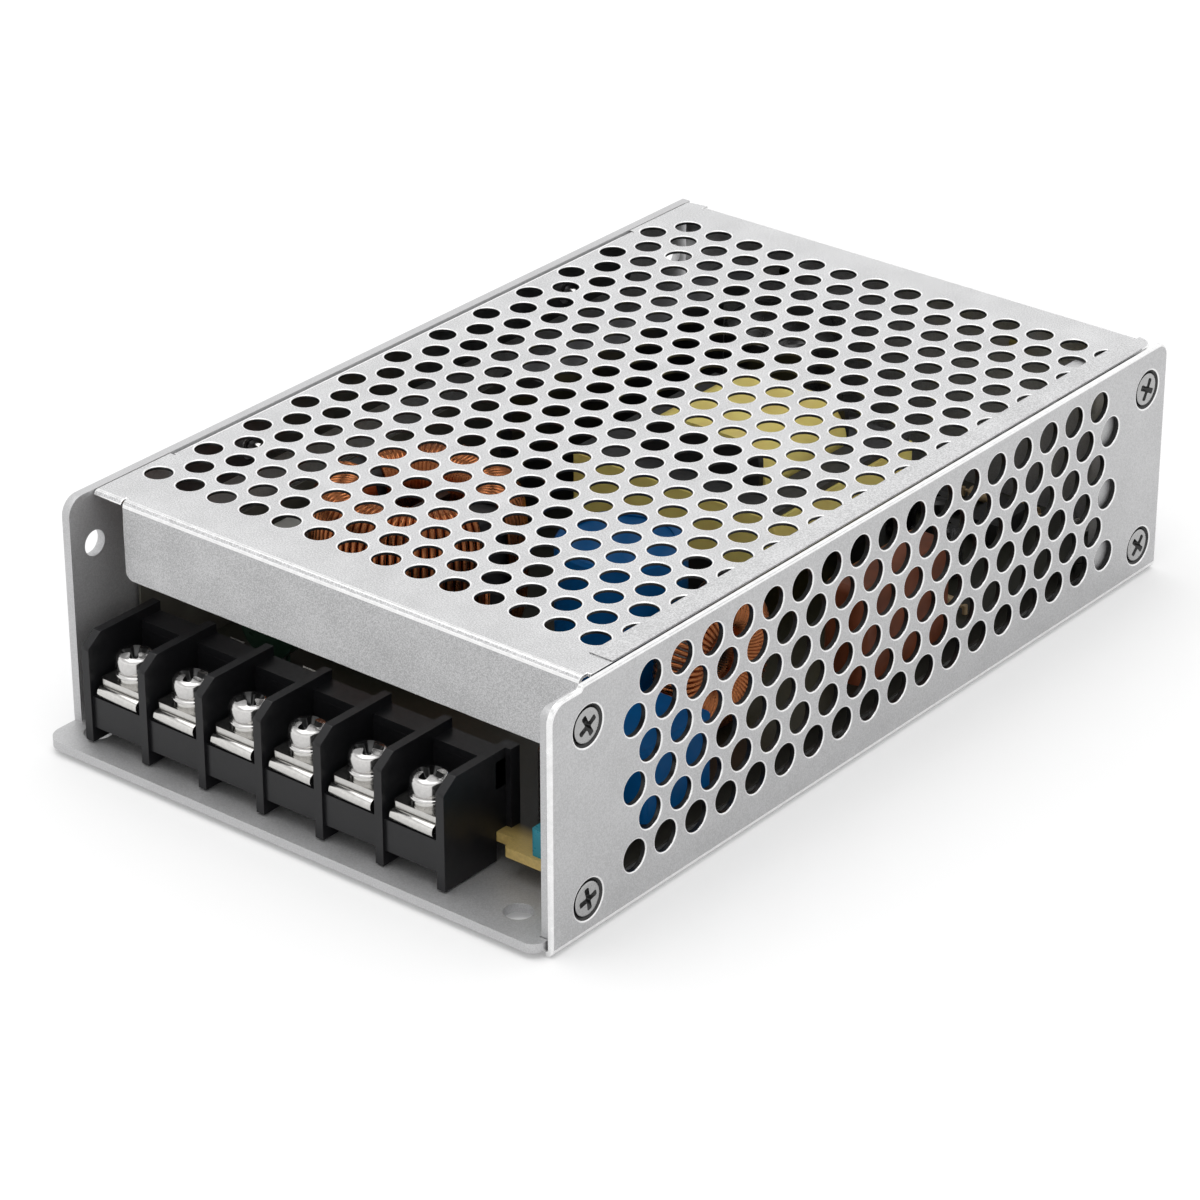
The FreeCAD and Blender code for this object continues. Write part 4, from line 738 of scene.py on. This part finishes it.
def side_panel():
    """The perforated right side, with its four sunk screw holes and its flange underneath."""
    radius = BEND + PANEL_SHEET
    quarter = radius * QUARTER_TURN
    sheet = Sheet((X_RIGHT, 0, 0), (0, 1, 0), (0, 0, 1), PANEL_SHEET, 0.32 * MM, 0.2 * MM,
                  PANEL_MARGIN)
    sheet.fold(1, -1, radius, radius, PANEL_FRONT, Y_BACK)
    flange_end = radius - quarter - (FLANGE_WIDTH - radius)
    flange_step = radius - quarter - FLANGE_STEP
    values = side_points(radius, radius, -1)
    corners = [(FLANGE_FRONT, flange_step, 3 * MM), (FLANGE_FRONT, flange_end, 1 * MM),
               (Y_BACK, flange_end, 1 * MM)]
    corners += [(Y_BACK, v, 0) for v in reversed(values)]
    corners += [(Y_BACK, PANEL_TOP, 2.5 * MM), (PANEL_FRONT + 7.0 * MM, PANEL_TOP, 0.4 * MM),
                (PANEL_FRONT + 6.5 * MM, PANEL_TOP - 0.6 * MM, 0),
                (PANEL_FRONT, PANEL_TOP - 0.6 * MM, 3 * MM)]
    corners += [(PANEL_FRONT, v, 0) for v in values]
    sheet.outline = rounded(corners)
    sheet.creases = crease_pairs(sheet, 1, values, PANEL_FRONT, Y_BACK)
    profile = plain_profile(sheet, 0.16 * MM, 0.08 * MM)
    for u, v in staggered(PANEL_FRONT + 18.4 * MM, Y_BACK - 15.5 * MM, PANEL_PITCH,
                          8.5 * MM, HEIGHT - 4 * MM, PANEL_ROW_PITCH):
        sheet.holes.append((circle(u, v, PANEL_HOLE, 36), profile))
    sunk = sunk_profile(sheet, SUNK_DEPTH)
    for u, v in PANEL_SCREWS:
        sheet.holes.append((circle(u, v, SCREW_MOUTH, 40), sunk))
    for x in (-30 * MM, 30 * MM):
        v = radius - quarter - (X_RIGHT - radius - x)
        sheet.holes.append((circle(Y_BACK - 25 * MM, v, FLANGE_HOLE, 36), profile))
    panel = build_sheet("side_sheet_folded", sheet, "case_sheet")
    stand_for(panel, "side_panel")


top_cover()
side_panel()


# Screws

def recess_loop(reach, waist, mouth):
    """The outline of a cross recess, whose arms flare from the waist to the mouth."""
    corners = []
    for k in range(4):
        c, s = math.cos(QUARTER_TURN * k), math.sin(QUARTER_TURN * k)
        for u, v, radius in ((reach, -mouth, mouth * 0.55), (reach, mouth, mouth * 0.55),
                             (waist, waist, waist * 0.5)):
            corners.append((u * c - v * s, u * s + v * c, radius))
    return rounded(corners, 4)


def screw(head, bulge, recess, depth, shank):
    """A screw with a cross recess, its axis along Z. The head is a list of (radius, height)
    from the rim of its bulging top down to the shank; the shank is (radius, end). The faces
    of the recess have the second finish, which is a painted shade."""
    sides = 48
    field, crown = head[0]
    dome = crown + field * field / (2 * bulge)
    loop = recess_loop(*recess)
    count = len(loop)
    flat = list(loop)
    edges = closed(0, count)
    for share in (0.93, 1.0):
        edges += closed(len(flat), sides)
        flat += reversed(circle(0, 0, field * share, sides))
    vertices = [(p.x, p.y, dome - p.length_squared / (2 * bulge)) for p in flat]
    polygons = [ids for ids in triangulate("screw", flat, edges)
                if max(ids) >= count or not within(centre_of(flat, ids), loop)]
    ring = list(range(len(flat) - sides, len(flat)))
    for radius, height in head[1:] + [(shank[0], head[-1][1]), shank]:
        first = len(vertices)
        for k in range(sides):
            a = 2 * math.pi * k / sides
            vertices.append((radius * math.cos(a), radius * math.sin(a), height))
        polygons += [(ring[i], first + i, first + (i + 1) % sides, ring[(i + 1) % sides])
                     for i in range(sides)]
        ring = list(range(first, first + sides))
    polygons.append(list(reversed(ring)))
    finishes = [0] * len(polygons)
    top = len(vertices)
    vertices += vertices[:count]
    bottom = len(vertices)
    vertices += [(x * 0.6, y * 0.6, dome - depth) for x, y, _ in vertices[:count]]
    tip = len(vertices)
    vertices.append((0, 0, dome - depth * 1.15))
    for i in range(count):
        j = (i + 1) % count
        polygons.append((top + i, top + j, bottom + j, bottom + i))
        polygons.append((bottom + i, bottom + j, tip))
        finishes += [1, 1]
    return vertices, polygons, finishes


def screws(name, model, places, finish):
    """One mesh of a screw model at each (matrix) place."""
    vertices, polygons, finishes = [], [], []
    for matrix in places:
        first = len(vertices)
        vertices += [matrix @ Vector(v) for v in model[0]]
        polygons += [[first + i for i in polygon] for polygon in model[1]]
        finishes += model[2]
    return make_mesh(name, vertices, polygons, finish, None, finishes)


TERMINAL_Y = Y_FRONT + 7.8 * MM
FIRST_WAY = -36.425 * MM
WAY_PITCH = 11.65 * MM
HEAD_UNDER = 14.5 * MM
HEAD_RADIUS = 3.1 * MM
PAN_TURNS = (38, 20, 52, 12, 33, 5)
PAN_BULGE, PAN_DEPTH = 6.5 * MM, 1.5 * MM
PAN_RECESS = (2.2 * MM, 0.6 * MM, 0.72 * MM)
FLAT_BULGE, FLAT_DEPTH = 40 * MM, 0.8 * MM
FLAT_RECESS = (1.9 * MM, 0.42 * MM, 0.5 * MM)
FLAT_SHANK = 1.3 * MM
FLAT_SINK = 0.12 * MM
FLAT_TURN, FLAT_TURN_STEP = 12, 17

# The heads' outlines, as (radius, height). The pan head has its washer, and the flat head
# is measured from the top of its countersink.
pan_head = [(2.6 * MM, 17.75 * MM), (2.85 * MM, 17.55 * MM), (3.03 * MM, 17.25 * MM),
            (HEAD_RADIUS, 16.85 * MM), (HEAD_RADIUS, 15.2 * MM), (2.95 * MM, 15.08 * MM),
            (3.2 * MM, 15.02 * MM), (3.3 * MM, 14.9 * MM), (3.3 * MM, 14.6 * MM),
            (3.15 * MM, HEAD_UNDER)]
flat_head = [(2.2 * MM, 0.0 * MM), (2.5 * MM, -0.03 * MM), (2.65 * MM, -0.1 * MM),
             (2.7 * MM, -0.22 * MM), (1.5 * MM, -1.45 * MM)]

stem = [v.co for v in nodes["terminal_screw_1"].data.vertices if v.co.z < HEAD_UNDER - 2 * MM]
stem_radius = max(math.hypot(v.x - FIRST_WAY, v.y - TERMINAL_Y) for v in stem)
stem_end = min(v.z for v in stem)
pan_model = screw(pan_head, PAN_BULGE, PAN_RECESS, PAN_DEPTH, (stem_radius, stem_end))
for way, turn in enumerate(PAN_TURNS):
    matrix = Matrix.Translation((FIRST_WAY + way * WAY_PITCH, TERMINAL_Y, 0)) \
        @ Matrix.Rotation(math.radians(turn), 4, "Z")
    number = way + 1
    piece = screws("pan_screw_%d" % number, pan_model, [matrix], ["bright_screw", "recess"])
    stand_for(piece, "terminal_screw_%d" % number, "screw_%d" % number)

flat_end = min(v.co.x for v in nodes["panel_screws"].data.vertices) - X_RIGHT
flat_model = screw(flat_head, FLAT_BULGE, FLAT_RECESS, FLAT_DEPTH, (FLAT_SHANK, flat_end))
outwards = Matrix.Rotation(QUARTER_TURN, 4, "Y")
spots = [Matrix.Translation((X_RIGHT - FLAT_SINK, y, z)) @ outwards
         @ Matrix.Rotation(math.radians(FLAT_TURN + FLAT_TURN_STEP * k), 4, "Z")
         for k, (y, z) in enumerate(PANEL_SCREWS)]
piece = screws("flat_screws", flat_model, spots, ["screw_face", "recess"])
stand_for(piece, "panel_screws")


# The terminal block with its raised shelf

# What differs from the solid: its front goes back, the barriers' fronts go up, the ear is
# slimmer, and a shelf lies between two corners. The first five numbers find the vertices to
# move, and the next four say how far or where to.
FRONT_FACES = -74.5 * MM
BARRIER_TOPS = 13 * MM
EAR_START, EAR_SIDE = 28.39 * MM, 28.45 * MM
EAR_FRONT = -63.9 * MM
FRONT_SET_BACK = 1.4 * MM
BARRIER_RISE = 1.0 * MM
EAR_BACK = -61.9 * MM
EAR_RIGHT = 29.4 * MM
SHELF_LOW, SHELF_HIGH = (-43.0, -64.05, 14.5), (28.4, -59.95, 18.9)
BOX_FACES = ((0, 1, 3, 2), (4, 6, 7, 5), (0, 4, 5, 1), (2, 3, 7, 6), (0, 2, 6, 4), (1, 5, 7, 3))


def terminal_block():
    """The housing's own mesh, with a set back front, a slim ear and a raised shelf."""
    mesh = nodes["terminal_housing"].data.copy()
    mesh.name = "terminal_block"
    form = bmesh.new()
    form.from_mesh(mesh)
    for vert in form.verts:
        place = vert.co
        if place.y < FRONT_FACES:
            place.y += FRONT_SET_BACK
            if place.z > BARRIER_TOPS:
                place.z += BARRIER_RISE
        if place.x > EAR_START and abs(place.y - EAR_FRONT) < 0.05 * MM:
            place.y = EAR_BACK
        if place.x > EAR_SIDE:
            place.x = EAR_RIGHT
    low, high = Vector(SHELF_LOW) * MM, Vector(SHELF_HIGH) * MM
    corners = [form.verts.new((x, y, z)) for x in (low.x, high.x) for y in (low.y, high.y)
               for z in (low.z, high.z)]
    for ids in BOX_FACES:
        form.faces.new([corners[i] for i in ids])
    form.to_mesh(mesh)
    form.free()
    obj = new_object("terminal_block", mesh)
    dress(obj, "black_plastic", "black_edge_painted_highlight")
    stand_for(obj, "terminal_housing")
    return obj


block = terminal_block()


# Windings

def winding(name, node, centre, spin, ring, half_width, half_height, square, wire, coils):
    """Wire wound on a ring core: its spin turns the ring's axis from Z, each coil is (first
    angle, sweep, turns) in degrees, and square flattens the loops from round towards a box."""
    sides, steps = 6, 24
    vertices, polygons = [], []
    for first_angle, sweep, turns in coils:
        path = []
        for k in range(turns * steps + 1):
            phi = math.radians(first_angle + sweep * k / (turns * steps))
            theta = 2 * math.pi * k / steps
            c, s = math.cos(theta), math.sin(theta)
            reach = math.copysign(abs(c) ** square, c) * (half_width - wire)
            rise = math.copysign(abs(s) ** square, s) * (half_height - wire)
            around = Vector((math.cos(phi), math.sin(phi), 0))
            path.append((around * (ring + reach) + Vector((0, 0, rise)),
                         around * c + Vector((0, 0, s))))
        start = len(vertices)
        for k, (place, out) in enumerate(path):
            along = (path[min(k + 1, len(path) - 1)][0] - path[max(k - 1, 0)][0]).normalized()
            side = along.cross(out).normalized()
            out = side.cross(along)
            for i in range(sides):
                a = 2 * math.pi * i / sides
                radial = out * math.cos(a) + side * math.sin(a)
                vertices.append(centre + spin @ (place + radial * wire))
        for k in range(len(path) - 1):
            for i in range(sides):
                a, b = start + k * sides + i, start + k * sides + (i + 1) % sides
                polygons.append((a, b, b + sides, a + sides))
        polygons.append([start + i for i in reversed(range(sides))])
        polygons.append([start + (len(path) - 1) * sides + i for i in range(sides)])
    piece = make_mesh(name, vertices, polygons, ["copper_wire"])
    stand_for(piece, node)


winding("output_winding", "output_choke_coil", Vector((33.4, -20.0, 19.6)) * MM,
        Matrix.Rotation(QUARTER_TURN, 3, "Y"), ring=8 * MM, half_width=4 * MM,
        half_height=4 * MM, square=1.0, wire=0.42 * MM, coils=[(205, 330, 62)])
winding("line_windings", "line_choke_coils", Vector((-20.0, -25.0, 21.85)) * MM,
        Matrix.Identity(3), ring=11.75 * MM, half_width=5.25 * MM, half_height=12.75 * MM,
        square=0.6, wire=0.55 * MM, coils=[(10, 160, 36), (190, 160, 36)])


# Rounded edges by modifiers

def soften(pieces, width, segments=2, angle=35.0, finish=-1):
    """Rounds the edges of pieces with modifiers, which leave their meshes alone. The rounds
    may have a material slot of their own."""
    for obj in pieces:
        weld = obj.modifiers.new("weld", "WELD")
        weld.merge_threshold = 0.002 * MM
        edge = obj.modifiers.new("edge", "BEVEL")
        edge.width = width
        edge.segments = segments
        edge.limit_method = "ANGLE"
        edge.angle_limit = math.radians(angle)
        edge.harden_normals = True
        edge.material = finish
        edge.use_clamp_overlap = True


# The chassis's rounds take its second slot, a painted highlight along its edges.
soften([nodes["chassis"]], 0.3 * MM, 3, finish=1)
# The block's rounds take its second slot, black with a painted highlight.
soften([block], 0.18 * MM, finish=1)
soften([nodes["terminal_clamp_%d" % n] for n in range(1, 7)], 0.15 * MM)
soften([nodes["terminal_bars"]], 0.1 * MM, angle=50.0)
soften([nodes["cover_screws"]], 0.1 * MM, angle=40.0)


# Floor, light and camera

# Greys by the height of a ray's direction, from straight down (0) to straight up (1)
SKY = [(0.0, 0.9), (0.5, 1.05), (0.6, 1.2), (0.76, 1.25), (0.85, 0.8), (0.93, 1.2), (1.0, 1.4)]
FLOOR_HALF = 3.0
FLOOR_DROP = 0.02 * MM
FLOOR_GLOW = 0.17


def any_ray(tree, *kinds):
    """1 for rays of any of these kinds, and 0 for others."""
    rays = add(tree, "ShaderNodeLightPath")
    result = rays.outputs[kinds[0]]
    for kind in kinds[1:]:
        either = add(tree, "ShaderNodeMath", operation="MAXIMUM")
        tree.links.new(result, either.inputs[0])
        tree.links.new(rays.outputs[kind], either.inputs[1])
        result = either.outputs["Value"]
    return result


def world():
    """A studio of greys that lights the part, and plain white where it is seen directly."""
    sky = bpy.data.worlds.new("studio")
    bpy.context.scene.world = sky
    sky.use_nodes = True
    tree = sky.node_tree
    background = tree.nodes["Background"]
    place = add(tree, "ShaderNodeTexCoord")
    split = add(tree, "ShaderNodeSeparateXYZ")
    tree.links.new(place.outputs["Generated"], split.inputs["Vector"])
    rise = add(tree, "ShaderNodeMapRange", {"From Min": -1.0, "From Max": 1.0})
    tree.links.new(split.outputs["Z"], rise.inputs["Value"])
    tree.links.new(ramp(tree, rise.outputs["Result"], SKY), background.inputs["Color"])
    background.inputs["Strength"].default_value = 1.0
    white = add(tree, "ShaderNodeBackground", {"Color": (1, 1, 1, 1), "Strength": 1.0})
    mix = add(tree, "ShaderNodeMixShader")
    tree.links.new(any_ray(tree, "Is Camera Ray", "Is Transmission Ray"), mix.inputs["Fac"])
    tree.links.new(background.outputs["Background"], mix.inputs[1])
    tree.links.new(white.outputs["Background"], mix.inputs[2])
    tree.links.new(mix.outputs["Shader"], tree.nodes["World Output"].inputs["Surface"])


def floor():
    """A floor that takes the shadow, and glows a little where it is seen or mirrored."""
    mesh = bpy.data.meshes.new("floor")
    mesh.from_pydata([(x * FLOOR_HALF, y * FLOOR_HALF, 0)
                      for x, y in ((-1, -1), (1, -1), (1, 1), (-1, 1))], [], [(0, 1, 2, 3)])
    obj = new_object("floor", mesh)
    obj.location.z = -FLOOR_DROP
    material, tree, shader = new_material("floor")
    shader.inputs["Base Color"].default_value = (0.68, 0.68, 0.68, 1)
    shader.inputs["Roughness"].default_value = 0.6
    shader.inputs["Specular IOR Level"].default_value = 0.0
    glow = add(tree, "ShaderNodeEmission", {"Color": (1, 1, 1, 1)})
    amount = add(tree, "ShaderNodeMath", {1: FLOOR_GLOW}, operation="MULTIPLY")
    tree.links.new(any_ray(tree, "Is Camera Ray", "Is Glossy Ray", "Is Transmission Ray"),
                   amount.inputs[0])
    tree.links.new(amount.outputs["Value"], glow.inputs["Strength"])
    both = add(tree, "ShaderNodeAddShader")
    tree.links.new(shader.outputs["BSDF"], both.inputs[0])
    tree.links.new(glow.outputs["Emission"], both.inputs[1])
    tree.links.new(both.outputs["Shader"], tree.nodes["Material Output"].inputs["Surface"])
    mesh.materials.append(material)


def lamp(name, place, target, size, power):
    """A rectangular lamp at a place, turned to its target."""
    data = bpy.data.lights.new(name, "AREA")
    data.shape = "RECTANGLE"
    data.size, data.size_y = size
    data.energy = power
    obj = new_object(name, data)
    obj.location = place
    obj.rotation_euler = (Vector(target) - Vector(place)).to_track_quat("-Z", "Y").to_euler()


# The camera that was fitted to the photo's edges: where it looks from and at, and its lens
AZIMUTH, ELEVATION, ROLL = 38.938, 27.446, -0.073
AIM = (-11.563, 9.072, 2.422)
DISTANCE = 713.41 * MM
LENS, SENSOR = 133.505, 36.0


def camera():
    """The camera, at its distance from the point that it looks at."""
    data = bpy.data.cameras.new("camera")
    obj = new_object("camera", data)
    azimuth, elevation, roll = (math.radians(a) for a in (AZIMUTH, ELEVATION, ROLL))
    back = Vector((math.sin(azimuth) * math.cos(elevation),
                   -math.cos(azimuth) * math.cos(elevation), math.sin(elevation)))
    right = Vector((math.cos(azimuth), math.sin(azimuth), 0))
    up = back.cross(right)
    right, up = (right * math.cos(roll) + up * math.sin(roll),
                 up * math.cos(roll) - right * math.sin(roll))
    place = Vector(AIM) * MM + back * DISTANCE
    obj.matrix_world = Matrix(((right.x, up.x, back.x, place.x),
                               (right.y, up.y, back.y, place.y),
                               (right.z, up.z, back.z, place.z), (0, 0, 0, 1)))
    data.sensor_width = SENSOR
    data.lens = LENS
    data.clip_start = 0.01
    data.clip_end = 50.0
    bpy.context.scene.camera = obj


world()
floor()
lamp("overhead", (-0.1, -0.1, 1.0), (0, 0, 0), (0.9, 0.9), 3.0)
camera()
bpy.context.scene.view_settings.view_transform = "Standard"
